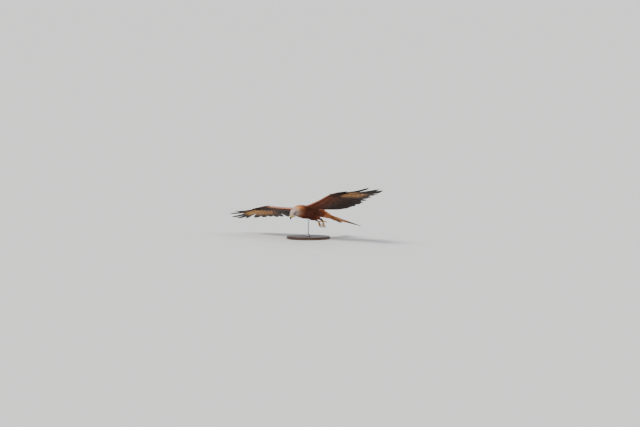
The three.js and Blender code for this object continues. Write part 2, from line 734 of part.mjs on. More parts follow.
const kite = new THREE.Group();
kite.add(
  bird,
  meshOf("stand_base", standBase(), MATERIALS.wood),
  meshOf("stand_collar", standCollar(), MATERIALS.steel),
  meshOf("stand_rod", standRod(bank), MATERIALS.steel),
);

export default kite;
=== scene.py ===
"""A life-size red kite, gliding on a plain display stand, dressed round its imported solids.

The bird is worked out in its own frame, in millimetres: level, facing -Y, with its left wing towards +X and
its origin midway between the shoulders. A bank then places it on the stand, in metres.
"""

import logging
import math
from collections.abc import Callable
from dataclasses import dataclass, field
from enum import Enum

import bpy
import numpy as np
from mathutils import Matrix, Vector
from mathutils.bvhtree import BVHTree
from mathutils.kdtree import KDTree


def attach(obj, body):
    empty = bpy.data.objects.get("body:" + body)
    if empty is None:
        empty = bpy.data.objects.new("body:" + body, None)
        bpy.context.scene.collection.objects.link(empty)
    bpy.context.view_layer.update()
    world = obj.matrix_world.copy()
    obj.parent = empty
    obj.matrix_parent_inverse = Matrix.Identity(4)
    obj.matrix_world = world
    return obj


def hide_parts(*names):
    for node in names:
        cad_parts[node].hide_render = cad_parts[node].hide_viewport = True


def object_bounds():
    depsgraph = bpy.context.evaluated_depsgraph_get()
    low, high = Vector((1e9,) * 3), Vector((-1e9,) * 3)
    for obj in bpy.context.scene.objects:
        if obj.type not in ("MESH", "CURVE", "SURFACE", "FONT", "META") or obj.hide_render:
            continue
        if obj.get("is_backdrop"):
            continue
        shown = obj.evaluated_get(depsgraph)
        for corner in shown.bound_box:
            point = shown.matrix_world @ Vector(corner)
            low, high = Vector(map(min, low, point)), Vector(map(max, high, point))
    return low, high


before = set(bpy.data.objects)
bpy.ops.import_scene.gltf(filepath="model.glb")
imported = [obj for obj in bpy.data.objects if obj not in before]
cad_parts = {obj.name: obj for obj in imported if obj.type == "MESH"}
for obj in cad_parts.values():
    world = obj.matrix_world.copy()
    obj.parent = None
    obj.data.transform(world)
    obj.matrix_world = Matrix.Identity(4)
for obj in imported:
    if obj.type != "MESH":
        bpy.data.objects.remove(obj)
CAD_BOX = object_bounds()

LOG = logging.getLogger("kite")
Array = np.ndarray
Arrays = tuple[Array, Array, Array]
Object = bpy.types.Object
Pairs = tuple[tuple[float, float], ...]
Triple = tuple[float, float, float]
Swell = Callable[[Array, Array], Array | float]

BODY = "root"
MM = 0.001
UP = np.array([0.0, 0.0, 1.0])

# The bank on the stand: two of the bird's own axes in the stand's frame
BIRD_LEFT = (0.9887, 0.0098, 0.1508)
BIRD_BACK = (0.0121, 0.9898, -0.1442)
BIRD_HEIGHT = 212.0
BELLY_POINT = (0.0, 44.0, -75.0)

# The photograph's camera
CAMERA_AZIMUTH = 50.0
CAMERA_ELEVATION = 4.0
CAMERA_DISTANCE = 24.3
CAMERA_LENS = 200.0
SENSOR_WIDTH = 36.0
IMAGE_SIZE = (640, 427)
BIRD_PIXEL = (303.6, 208.0)


class Side(Enum):
    """A side of the bird."""

    LEFT = 1
    RIGHT = -1

    @property
    def label(self) -> str:
        """The side's name in the names of pieces."""
        return self.name.lower()


class Facing(Enum):
    """The upper or the lower face of a wing."""

    UPPER = 1
    LOWER = -1


def srgb(red: int, green: int, blue: int) -> Array:
    """A linear colour from the 0 to 255 values of a colour chart."""
    return np.array([((c / 255 + 0.055) / 1.055) ** 2.4 if c > 10 else c / 3295 for c in (red, green, blue)])


def unit(vectors: Array) -> Array:
    """The vectors, each made one long."""
    return vectors / np.maximum(np.linalg.norm(vectors, axis=-1, keepdims=True), 1e-9)


def mix(a: Array, b: Array, share: Array) -> Array:
    """A blend from a to b."""
    return a + (b - a) * share


def smooth(x: Array, low: float, high: float) -> Array:
    """A soft step from 0 at low to 1 at high."""
    t = np.clip((np.asarray(x, float) - low) / (high - low), 0, 1)
    return t * t * (3 - 2 * t)


def along(pairs: Pairs, x: Array) -> Array:
    """Reads a smooth curve through pairs of place and value.

    Args:
        pairs: The places, in rising order, with their values.
        x: Where the curve is read.

    Returns:
        The curve's values at x, held level past both ends.
    """
    places, values = np.array(pairs, float).T
    chords = np.diff(values) / np.diff(places)
    middle = (values[2:] - values[:-2]) / (places[2:] - places[:-2])
    slopes = np.concatenate([chords[:1], middle, chords[-1:]])
    x = np.asarray(x, float)
    i = np.clip(np.searchsorted(places, x, side="left") - 1, 0, len(places) - 2)
    width = places[i + 1] - places[i]
    t = np.clip((x - places[i]) / width, 0, 1)
    start = (2 * t**3 - 3 * t**2 + 1) * values[i] + (t**3 - 2 * t**2 + t) * slopes[i] * width
    end = (3 * t**2 - 2 * t**3) * values[i + 1] + (t**3 - t**2) * slopes[i + 1] * width
    return start + end


class Curve:
    """A smooth curve through points, rounded the same way as the solids' curves."""

    def __init__(self, points: list[Triple]) -> None:
        """Keeps the points, with one more past each end.

        Args:
            points: The points that the curve passes, in order.
        """
        p = np.array(points, float)
        self.points = np.vstack([2 * p[0] - p[1], p, 2 * p[-1] - p[-2]])
        self.spans = len(points) - 1

    def at(self, t: Array) -> Array:
        """Reads the curve.

        Args:
            t: Shares of the curve.

        Returns:
            Its points at t.
        """
        t = np.clip(np.asarray(t, float), 0, 1) * self.spans
        i = np.minimum(t.astype(int), self.spans - 1)
        w = (t - i)[..., None]
        p0, p1, p2, p3 = (self.points[i + k] for k in range(4))
        steps = ((p0, p1), (p1, p2), (p2, p3))
        d0, d1, d2 = (np.linalg.norm(b - a, axis=-1, keepdims=True) ** 0.5 for a, b in steps)
        m1 = ((p1 - p0) / d0 - (p2 - p0) / (d0 + d1) + (p2 - p1) / d1) * d1
        m2 = ((p2 - p1) / d1 - (p3 - p1) / (d1 + d2) + (p3 - p2) / d2) * d1
        return p1 + m1 * w + (3 * (p2 - p1) - 2 * m1 - m2) * w**2 + (2 * (p1 - p2) + m1 + m2) * w**3

    def tangent(self, t: Array, step: float = 1e-4) -> Array:
        """The directions of the curve at shares t."""
        t = np.clip(np.asarray(t, float), step, 1 - step)
        return unit(self.at(t + step) - self.at(t - step))

    def frame(self, t: Array, upward: Array = UP) -> tuple[Array, Array]:
        """The directions across and over the curve at shares t."""
        across = unit(np.cross(self.tangent(t), upward))
        return across, unit(np.cross(across, self.tangent(t)))

    def nearest(self, points: Array, stations: int = 120, batches: int = 80) -> tuple[Array, Array]:
        """Finds where along the curve points are.

        Args:
            points: The points.
            stations: How many places of the curve are tried.
            batches: How many parts the points are handled in.

        Returns:
            The share of the curve that is nearest to each point, and how far off it is.
        """
        shares = np.linspace(0, 1, stations)
        tried = self.at(shares)
        found, gaps = [], []
        for part in np.array_split(points, batches):
            gap = np.linalg.norm(part[:, None] - tried, axis=-1)
            found.append(shares[np.argmin(gap, axis=1)])
            gaps.append(gap.min(axis=1))
        return np.concatenate(found), np.concatenate(gaps)


class Bank:
    """The bird's place on the stand."""

    def __init__(self) -> None:
        """Works out the bird's three axes and its origin in the stand's frame."""
        left = unit(np.array(BIRD_LEFT))
        back = np.array(BIRD_BACK)
        back = unit(back - left * left.dot(back))
        self.axes = np.array([left, back, np.cross(left, back)])
        belly = np.array(BELLY_POINT) @ self.axes
        self.origin = np.array([-belly[0], -belly[1], BIRD_HEIGHT])

    def place(self, points: Array) -> Array:
        """Points of the bird, in metres in the stand's frame."""
        return (np.asarray(points, float) @ self.axes + self.origin) * MM

    def unplace(self, points: Array) -> Array:
        """Points in metres in the stand's frame, as millimetres in the bird's frame."""
        return (np.asarray(points, float) / MM - self.origin) @ self.axes.T


BANK = Bank()


@dataclass(frozen=True)
class TubeShape:
    """The half width of a tube, and its heights above and below its curve, against the share along it."""

    half: Pairs
    above: Pairs
    below: Pairs
    grow: float = 0.0

    def ring(self, curve: Curve, t: Array, angle: Array, radius: Array, upward: Array = UP) -> Array:
        """Points of the tube.

        Args:
            curve: The tube's middle.
            t: The share along the curve of each point.
            angle: The angle round the tube of each point.
            radius: The share of the tube's own radius at each point.
            upward: The direction that counts as above.

        Returns:
            One point for each t, angle and radius.
        """
        across, over = curve.frame(t, upward)
        height = np.where(np.sin(angle) > 0, along(self.above, t), along(self.below, t)) + self.grow
        side = (np.cos(angle) * (along(self.half, t) + self.grow) * radius)[..., None] * across
        return curve.at(t) + side + (np.sin(angle) * height * radius)[..., None] * over

    def reach(self, t: Array) -> Array:
        """The tube's mean half size at shares t."""
        return sum(along(size, t) for size in (self.half, self.above, self.below)) / 3 + self.grow

    def build(
        self,
        name: str,
        cut: tuple[int, int],
        curve: Curve,
        upward: Array = UP,
        swell: Swell = lambda t, angle: 1,
    ) -> Object:
        """Builds the tube.

        Args:
            name: Its name.
            cut: How many sides and rings it has.
            curve: Its middle.
            upward: The direction that counts as above.
            swell: Gives how much wider it is, from shares along it and angles round it.

        Returns:
            The tube as a piece in its place.
        """

        def place(t: Array, angle: Array, radius: Array) -> Array:
            """The tube's surface."""
            return BANK.place(self.ring(curve, t, angle, radius * swell(t, angle), upward))

        return tube(name, *cut, place)


# Shader maths


class Value:
    """A number, vector or colour inside a material, for use in Python expressions."""

    def __init__(self, paint: "Paint", socket: bpy.types.NodeSocket) -> None:
        """Wraps a node's output, with the material that the node is in."""
        self.paint = paint
        self.socket = socket

    def math(self, operation: str, *others: "Value | float", clamp: bool = False) -> "Value":
        """The result of a Math node on this value and others."""
        settings = {"operation": operation, "use_clamp": clamp}
        return self.paint.add("ShaderNodeMath", settings, dict(enumerate((self, *others))))

    def __add__(self, other: "Value | float") -> "Value":
        """This value plus another."""
        return self.math("ADD", other)

    def __sub__(self, other: "Value | float") -> "Value":
        """This value less another."""
        return self.math("SUBTRACT", other)

    def __mul__(self, other: "Value | float") -> "Value":
        """This value times another."""
        return self.math("MULTIPLY", other)

    def __rsub__(self, other: float) -> "Value":
        """A number less this value."""
        return self.paint.add("ShaderNodeMath", {"operation": "SUBTRACT"}, {0: other, 1: self})

    __radd__ = __add__
    __rmul__ = __mul__

    def clamped(self) -> "Value":
        """This value, kept from 0 to 1."""
        return self.math("ADD", 0.0, clamp=True)


class Paint:
    """A material under construction."""

    def __init__(self, name: str) -> None:
        """Starts an empty material.

        Args:
            name: The material's name.
        """
        self.material = bpy.data.materials.new(name)
        self.material.use_nodes = True
        self.tree = self.material.node_tree
        self.tree.nodes.clear()

    def add(self, kind: str, settings: dict, inputs: dict, output: int | str | None = 0) -> Value | None:
        """Adds any node.

        Args:
            kind: The node's type.
            settings: The node's own settings, set first. A ramp's stops are pairs of place and colour.
            inputs: A value, number or colour for each socket, by name or number.
            output: The output that is returned, or None for a node without one.

        Returns:
            The node's output as a value.
        """
        node = self.tree.nodes.new(kind)
        for key, setting in settings.items():
            if key == "stops":
                ramp = node.color_ramp
                while len(ramp.elements) < len(setting):
                    ramp.elements.new(0.5)
                for element, (place, colour) in zip(ramp.elements, setting):
                    element.position = place
                    element.color = (*colour, 1)
            else:
                setattr(node, key, setting)
        for key, given in inputs.items():
            if isinstance(given, Value):
                self.tree.links.new(given.socket, node.inputs[key])
            elif node.inputs[key].type == "RGBA":
                node.inputs[key].default_value = (*given, 1)
            else:
                node.inputs[key].default_value = given
        return None if output is None else Value(self, node.outputs[output])

    def attribute(self, name: str, output: str = "Color") -> Value:
        """A mesh attribute's value."""
        return self.add("ShaderNodeAttribute", {"attribute_name": name}, {}, output)

    def parts(self, vector: Value) -> tuple[Value, Value, Value]:
        """The three numbers of a vector or colour."""
        outputs = self.add("ShaderNodeSeparateXYZ", {}, {0: vector}).socket.node.outputs
        return tuple(Value(self, output) for output in outputs)

    def mixed(self, share: Value | float, a: Value | Array, b: Value | Array, how: str = "MIX") -> Value:
        """A blend of two colours."""
        return self.add("ShaderNodeMix", {"data_type": "RGBA", "blend_type": how}, {0: share, 6: a, 7: b}, 2)

    def scaled(self, colour: Value | Array, share: Value) -> Value:
        """A colour made darker or lighter by a number."""
        grey = self.add("ShaderNodeCombineXYZ", {}, {0: share, 1: share, 2: share})
        return self.mixed(1.0, colour, grey, "MULTIPLY")

    def places(self, scale: Triple = (1, 1, 1)) -> Value:
        """The piece's own coordinates in metres, stretched by scale."""
        own = self.add("ShaderNodeTexCoord", {}, {}, "Object")
        return self.add("ShaderNodeMapping", {}, {"Vector": own, "Scale": scale})

    def noise(self, vector: Value, scale: float, detail: float = 3.0) -> Value:
        """Soft noise from 0 to 1."""
        return self.add("ShaderNodeTexNoise", {}, {"Vector": vector, "Scale": scale, "Detail": detail})

    def cells(self, vector: Value, scale: float) -> Value:
        """The distance to the nearest of many scattered points."""
        return self.add("ShaderNodeTexVoronoi", {}, {"Vector": vector, "Scale": scale})

    def bump(self, height: Value, depth: float, strength: float = 1.0) -> Value:
        """A normal that is raised by height, where 1 stands depth metres proud."""
        return self.add("ShaderNodeBump", {}, {"Height": height, "Distance": depth, "Strength": strength})

    def finish(self, **inputs: Value | float | Array) -> bpy.types.Material:
        """Ends the material with its surface.

        Args:
            inputs: The surface's sockets, by name with _ for a space.

        Returns:
            The finished material.
        """
        sockets = {key.replace("_", " "): value for key, value in inputs.items()}
        surface = self.add("ShaderNodeBsdfPrincipled", {}, sockets)
        self.add("ShaderNodeOutputMaterial", {}, {"Surface": surface}, None)
        return self.material


@dataclass(frozen=True)
class Finish:
    """What every finish has: its name and the record's slot that it stands for."""

    name: str
    slot: str

    def material(self) -> bpy.types.Material:
        """The finish as a material."""
        raise NotImplementedError

    def dress(self, piece: Object, *replaced: str) -> Object:
        """Finishes a piece and fixes it to the bird.

        Args:
            piece: The piece.
            replaced: The nodes that it stands for.

        Returns:
            The same piece.
        """
        made = bpy.data.materials.get(self.name) or self.material()
        piece.data.materials.clear()
        piece.data.materials.append(made)
        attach(piece, BODY)
        if replaced:
            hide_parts(*replaced)
        LOG.info("%s: %d faces", piece.name, len(piece.data.polygons))
        return piece


# Finishes

BAR_COLOUR = srgb(30, 24, 22)
PUPIL_COLOUR = srgb(8, 7, 7)


@dataclass(frozen=True)
class FeatherFinish(Finish):
    """Feathers: painted vanes with fine barbs, a shaft, dark streaks along it and bars across."""

    streak: Array
    bar_spacing: float = 24.0
    bar_wander: float = 7.0
    barb_spacing: float = 0.9
    barb_depth: float = 0.00005
    mottle_scale: float = 55.0
    streak_strength: float = 0.66
    roughness: float = 0.66
    gloss: float = 0.16

    def material(self) -> bpy.types.Material:
        """The feathers' material, from their tints, their marks and their own coordinates in millimetres."""
        paint = Paint(self.name)
        lay = paint.add("ShaderNodeUVMap", {"uv_map": "vane"}, {})
        side, run, _ = paint.parts(lay)
        reach = side.math("ABSOLUTE")
        streak, bars, own = paint.parts(paint.attribute("marks"))
        under = paint.attribute("under", "Fac")
        mottle = paint.noise(paint.places(), self.mottle_scale)
        fine = paint.noise(lay, 0.55, 2.0)
        barb = ((run - reach * 0.9) * (2 * math.pi / self.barb_spacing)).math("SINE")
        wave = ((run + fine * self.bar_wander) * (2 * math.pi / self.bar_spacing)).math("SINE")
        tint = paint.mixed(under, paint.attribute("tint"), paint.attribute("tint_under"))
        dark = ((streak * 10.0 + fine * 0.5 - 0.25 - reach) * 1.3).clamped() * (streak * 40.0).clamped()
        marked = paint.mixed(dark * self.streak_strength, tint, self.streak)
        barred = paint.mixed((wave * 2.2 - 0.6).clamped() * bars, marked, BAR_COLOUR)
        light = 0.72 + mottle * 0.34 + own * 0.16 + barb * 0.02 + fine * 0.12
        rough = self.roughness - 0.1 + mottle * 0.2
        relief = paint.bump(barb * 0.5 + fine, self.barb_depth)
        colour = paint.scaled(barred, light)
        return paint.finish(Base_Color=colour, Roughness=rough, Normal=relief, Specular_IOR_Level=self.gloss)


@dataclass(frozen=True)
class SkinFinish(Finish):
    """The feathered skin under the coat, with the coat's own markings and a downy relief."""

    def material(self) -> bpy.types.Material:
        """The skin's material, from its tints."""
        paint = Paint(self.name)
        down = paint.noise(paint.places((1, 0.4, 1)), 420.0, 4.0)
        colour = paint.scaled(paint.attribute("tint"), 0.5 + down * 0.5)
        return paint.finish(Base_Color=colour, Roughness=0.7 + down * 0.2, Normal=paint.bump(down, 0.0006))


@dataclass(frozen=True)
class ScalyFinish(Finish):
    """Bare skin in small scales, as on the feet, or nearly smooth, as on the cere."""

    base: Array
    crease: Array
    scale: float
    depth: float
    roughness: float = 0.5

    def material(self) -> bpy.types.Material:
        """The bare skin's material."""
        paint = Paint(self.name)
        cells = paint.cells(paint.places(), self.scale)
        patchy = paint.noise(paint.places(), self.scale * 0.12)
        # The nostrils' openings are darkened with painted shade, through the same blend as the creases.
        edge = (cells * 1.7 - 0.45 + paint.attribute("pit", "Fac") * 4.0).clamped()
        colour = paint.scaled(paint.mixed(edge * 0.6, self.base, self.crease), 0.78 + patchy * 0.42)
        relief = paint.bump(1 - edge + patchy * 0.5, self.depth)
        rough = self.roughness + edge * 0.25
        return paint.finish(Base_Color=colour, Roughness=rough, Normal=relief, Subsurface_Weight=0.04)


@dataclass(frozen=True)
class HornFinish(Finish):
    """Polished horn that runs from one colour at its root to another at its tip."""

    root: Array
    tip: Array
    turn: float = 0.35

    def material(self) -> bpy.types.Material:
        """The horn's material, from how far each point is along it."""
        paint = Paint(self.name)
        share = paint.attribute("share", "Fac")
        fibre = paint.noise(paint.places((1, 1, 0.35)), 900.0)
        change = ((share + fibre * 0.12 - self.turn) * 3.2).clamped()
        colour = paint.scaled(paint.mixed(change, self.root, self.tip), 0.85 + fibre * 0.3)
        relief = paint.bump(fibre, 0.00008)
        return paint.finish(Base_Color=colour, Roughness=0.24 + fibre * 0.2, Normal=relief)


@dataclass(frozen=True)
class EyeFinish(Finish):
    """A glassy eye: black pupil, pale amber iris and a dark rim."""

    iris: Array
    ray: Array

    def material(self) -> bpy.types.Material:
        """The eye's material, from each point's angle off the gaze, where 1 is a right angle."""
        paint = Paint(self.name)
        share = paint.attribute("share", "Fac")
        rays = paint.noise(paint.places(), 2600.0, 2.0)
        iris = paint.mixed(rays, self.iris, self.ray)
        rim = ((share - 0.60) * 14.0).clamped()
        pupil = ((0.31 - share) * 40.0).clamped()
        colour = paint.mixed((rim + pupil).clamped(), iris, PUPIL_COLOUR)
        return paint.finish(Base_Color=colour, Roughness=0.06 + rays * 0.04, Coat_Weight=1.0, IOR=1.4)


@dataclass(frozen=True)
class WoodFinish(Finish):
    """Dark stained wood with long grain and a worn edge."""

    early: Array
    late: Array

    def material(self) -> bpy.types.Material:
        """The wood's material."""
        paint = Paint(self.name)
        board = paint.places((1, 9, 5))
        figure = paint.noise(board, 7.0, 5.0)
        rings = ((figure * 42.0).math("SINE") * 0.5 + 0.5).clamped()
        pores = paint.noise(paint.places((14, 190, 60)), 14.0, 2.0)
        colour = paint.scaled(paint.mixed(rings * 0.8, self.early, self.late), 0.8 + pores * 0.45)
        relief = paint.bump(pores + rings * 0.3, 0.00012)
        return paint.finish(Base_Color=colour, Roughness=0.3 + pores * 0.25, Normal=relief, Coat_Weight=0.25)


@dataclass(frozen=True)
class SteelFinish(Finish):
    """Brushed steel."""

    colour: Array

    def material(self) -> bpy.types.Material:
        """The steel's material."""
        paint = Paint(self.name)
        brushed = paint.noise(paint.places((1, 1, 40)), 130.0, 3.0)
        soft = paint.noise(paint.places(), 30.0)
        colour = paint.scaled(self.colour, 0.85 + soft * 0.3)
        relief = paint.bump(brushed, 0.00003)
        return paint.finish(Base_Color=colour, Metallic=1.0, Roughness=0.24 + brushed * 0.22, Normal=relief)


@dataclass(frozen=True)
class FloorFinish(Finish):
    """The studio floor's pale matt paint."""

    colour: Array

    def material(self) -> bpy.types.Material:
        """The floor's material."""
        paint = Paint(self.name)
        grain = paint.noise(paint.places(), 6.0)
        return paint.finish(Base_Color=paint.scaled(self.colour, 0.97 + grain * 0.04), Roughness=0.8)


WING_PAINT = FeatherFinish("wing plumage", "wing_feathers", srgb(34, 22, 17))
FLIGHT_PAINT = FeatherFinish(
    "flight feathers", "wing_feathers", srgb(150, 128, 108), bar_spacing=30.0, roughness=0.6, gloss=0.14
)
TAIL_PAINT = FeatherFinish("tail feathers", "tail_feathers", srgb(112, 66, 38), bar_spacing=26.0)
BODY_PAINT = FeatherFinish("body plumage", "body_feathers", srgb(30, 17, 12), barb_spacing=0.7)
NECK_PAINT = FeatherFinish("neck plumage", "neck_feathers", srgb(52, 33, 24), barb_spacing=0.6)
HEAD_PAINT = FeatherFinish("head plumage", "head_feathers", srgb(44, 36, 34), barb_spacing=0.5)
SKIN_PAINT = SkinFinish("feathered skin", "body_feathers")
CERE_SKIN = ScalyFinish("cere skin", "cere", srgb(226, 178, 62), srgb(176, 128, 44), 700.0, 0.00008, 0.38)
FOOT_SKIN = ScalyFinish("foot skin", "leg_skin", srgb(200, 150, 50), srgb(92, 62, 26), 420.0, 0.00035)
LID_SKIN = ScalyFinish("lid skin", "head_feathers", srgb(88, 76, 68), srgb(40, 34, 31), 1100.0, 0.0002)
BILL_HORN = HornFinish("bill horn", "bill", srgb(84, 74, 58), srgb(18, 17, 18), 0.1)
LOWER_HORN = HornFinish("lower bill horn", "bill", srgb(212, 162, 60), srgb(20, 19, 20), 0.34)
CLAW_HORN = HornFinish("claw horn", "claw", srgb(36, 32, 30), srgb(12, 11, 12))
EYE_GLASS = EyeFinish("glassy eye", "eye", srgb(214, 186, 108), srgb(160, 118, 52))
STAND_WOOD = WoodFinish("stand wood", "stand_wood", srgb(84, 54, 36), srgb(44, 27, 19))
STAND_STEEL = SteelFinish("stand steel", "stand_steel", srgb(186, 188, 190))
FLOOR_PAINT = FloorFinish("studio floor", "", srgb(226, 226, 224))


# Shaping by hand


def put_down() -> None:
    """Leaves nothing selected."""
    if bpy.context.object and bpy.context.object.mode != "OBJECT":
        bpy.ops.object.mode_set(mode="OBJECT")
    bpy.ops.object.select_all(action="DESELECT")


def take_up(*pieces: Object) -> None:
    """Selects only some pieces.

    Args:
        pieces: The pieces, of which the first becomes the active one.
    """
    put_down()
    for piece in pieces:
        piece.select_set(True)
    bpy.context.view_layer.objects.active = pieces[0]


def corners(piece: Object) -> Array:
    """Reads a piece's shape.

    Args:
        piece: The piece.

    Returns:
        The places of its vertices.
    """
    flat = np.empty(len(piece.data.vertices) * 3)
    piece.data.vertices.foreach_get("co", flat)
    return flat.reshape(-1, 3)


def reshape(piece: Object, places: Array) -> None:
    """Moves a piece's vertices to new places."""
    piece.data.vertices.foreach_set("co", np.ascontiguousarray(places, float).ravel())
    piece.data.update()


def number(mesh: bpy.types.Mesh, name: str, values: Array, domain: str = "POINT") -> None:
    """Gives each vertex or face of a mesh a named number."""
    mesh.attributes.new(name, "FLOAT", domain).data.foreach_set("value", np.asarray(values, np.float32))


def colours(mesh: bpy.types.Mesh, name: str, values: Array) -> None:
    """Gives each vertex of a mesh a named colour."""
    full = np.concatenate([values, np.ones((len(values), 1))], axis=1).astype(np.float32)
    mesh.attributes.new(name, "FLOAT_COLOR", "POINT").data.foreach_set("color", full.ravel())


def edit(piece: Object, kind: str, chosen: Array) -> None:
    """Opens a piece for editing with some of its edges or faces selected.

    Args:
        piece: The piece.
        kind: EDGE or FACE.
        chosen: Whether each edge or face is selected.
    """
    take_up(piece)
    bpy.ops.object.mode_set(mode="EDIT")
    bpy.ops.mesh.select_mode(type=kind)
    bpy.ops.mesh.select_all(action="DESELECT")
    bpy.ops.object.mode_set(mode="OBJECT")
    parts = piece.data.edges if kind == "EDGE" else piece.data.polygons
    parts.foreach_set("select", np.asarray(chosen, bool))
    bpy.ops.object.mode_set(mode="EDIT")


def melted(piece: Object, voxel: float, factor: float, iterations: int) -> Object:
    """Melts a piece's parts into one skin.

    Args:
        piece: The piece.
        voxel: How fine the skin is, in metres.
        factor: How much each pass smooths it.
        iterations: How many passes there are.

    Returns:
        The same piece.
    """
    take_up(piece)
    piece.data.remesh_voxel_size = voxel
    bpy.ops.object.voxel_remesh()
    modifier = piece.modifiers.new("Smooth", "SMOOTH")
    modifier.factor = factor
    modifier.iterations = iterations
    bpy.ops.object.modifier_apply(modifier=modifier.name)
    return smooth_shaded(piece)


def smooth_shaded(piece: Object, angle: float = 180.0) -> Object:
    """Shades a piece smooth.

    Args:
        piece: The piece.
        angle: The sharpest edge that is smoothed, in degrees.

    Returns:
        The same piece.
    """
    take_up(piece)
    if angle < 180:
        bpy.ops.object.shade_smooth_by_angle(angle=math.radians(angle))
    else:
        bpy.ops.object.shade_smooth()
    return piece


def joined(name: str, pieces: list[Object]) -> Object:
    """Makes several pieces one.

    Args:
        name: The new piece's name.
        pieces: Its parts.

    Returns:
        The new piece.
    """
    take_up(*pieces)
    if len(pieces) > 1:
        bpy.ops.object.join()
    pieces[0].name = pieces[0].data.name = name
    return pieces[0]


def outward(piece: Object) -> Object:
    """Turns a closed piece's faces outwards.

    Args:
        piece: The piece.

    Returns:
        The same piece.
    """
    edit(piece, "FACE", np.ones(len(piece.data.polygons), bool))
    bpy.ops.mesh.normals_make_consistent(inside=False)
    put_down()
    return piece


def started(name: str) -> Object:
    """The primitive that was just added, by its new name."""
    bpy.context.object.name = name
    return bpy.context.object


def tube(name: str, sides: int, rings: int, place: Callable[[Array, Array, Array], Array]) -> Object:
    """A closed tube: an upright cylinder, cut into rings, whose vertices are then moved into place.

    Args:
        name: The tube's name.
        sides: How many vertices go round it.
        rings: How many bands it has along it.
        place: Gives the vertices' places from their shares along, angles and shares of the radius.

    Returns:
        The tube, which keeps each vertex's share along it as the number share.
    """
    put_down()
    bpy.ops.mesh.primitive_cylinder_add(vertices=sides, radius=1, depth=1, end_fill_type="TRIFAN")
    piece = started(name)
    ends = corners(piece)[[v for edge in piece.data.edges for v in edge.vertices], 2].reshape(-1, 2)
    edit(piece, "EDGE", np.abs(ends[:, 0] - ends[:, 1]) > 0.5)
    bpy.ops.mesh.subdivide(number_cuts=rings - 1)
    put_down()
    x, y, z = corners(piece).T
    share = np.clip(z + 0.5, 0, 1)
    reshape(piece, place(share, np.arctan2(y, x), np.hypot(x, y)))
    number(piece.data, "share", share)
    return outward(piece)


def ball(name: str, centre: Array, radii: Triple, axes: Array, fine: int = 24) -> Object:
    """An egg-shaped lump of the bird.

    Args:
        name: Its name.
        centre: Its centre, in the bird's frame.
        radii: Its radii along its three axes.
        axes: Its three axes, as rows.
        fine: How many segments go round it.

    Returns:
        The lump, in place on the stand.
    """
    put_down()
    bpy.ops.mesh.primitive_uv_sphere_add(segments=fine, ring_count=fine // 2, radius=1)
    piece = started(name)
    reshape(piece, BANK.place(centre + (corners(piece) * radii) @ axes))
    return outward(piece)


# Feathers


def tips_of(steps: int, power: float) -> Array:
    """Shares along a feather, closer together towards its rounded tip."""
    return 1 - (1 - np.linspace(0, 1, steps)) ** power


def vane_width(t: Array, root: float, round_from: float) -> Array:
    """A feather's share of its full width: narrow at the root, then even, then rounded to the tip."""
    end = np.sqrt(np.clip(1 - (np.maximum(t - round_from, 0) / (1 - round_from)) ** 2, 0, 1))
    return mix(root, 1.0, smooth(t, 0, 0.32)) * np.maximum(end, 0.06)


def bezier(ends: tuple[Array, Array, Array], t: Array) -> Array:
    """Reads curves.

    Args:
        ends: The points that the curves leave, lean to and end at.
        t: Shares of each curve.

    Returns:
        The points of each curve at t.
    """
    first, lean, last = (p[:, None] for p in ends)
    t = t[None, :, None]
    return (1 - t) ** 2 * first + 2 * t * (1 - t) * lean + t**2 * last


def shaft_frames(spine: Array, side: Array | float) -> tuple[Array, Array]:
    """Finds how feathers lie along their shafts.

    Args:
        spine: The points of each shaft.
        side: 1 for feathers of the left side and -1 for the right.

    Returns:
        The direction of the outer web at each point, and of the upper face.
    """
    tangent = unit(np.gradient(spine, axis=1))
    across = unit(np.cross(tangent, UP)) * side
    return across, unit(UP - tangent * np.sum(tangent * UP, axis=-1, keepdims=True))


def resting(points: Array, normals: Array, lift: Array) -> tuple[Array, Array, Array]:
    """Raises feathers off the skin.

    Args:
        points: The points under each feather.
        normals: The skin's direction out at each.
        lift: How high the feather is over each.

    Returns:
        The points of the feathers, and the directions across and over them.
    """
    spine = points + normals * lift[..., None]
    ways = unit(np.gradient(spine, axis=1))
    across = unit(np.cross(ways, normals))
    return spine, across, np.cross(across, ways)


def marked(streak: Array | float, bars: Array | float, own: Array) -> Array:
    """Each feather's streak, bars and random share, for all its points."""
    return np.stack(np.broadcast_arrays(streak, bars, own), -1)[:, None, None]


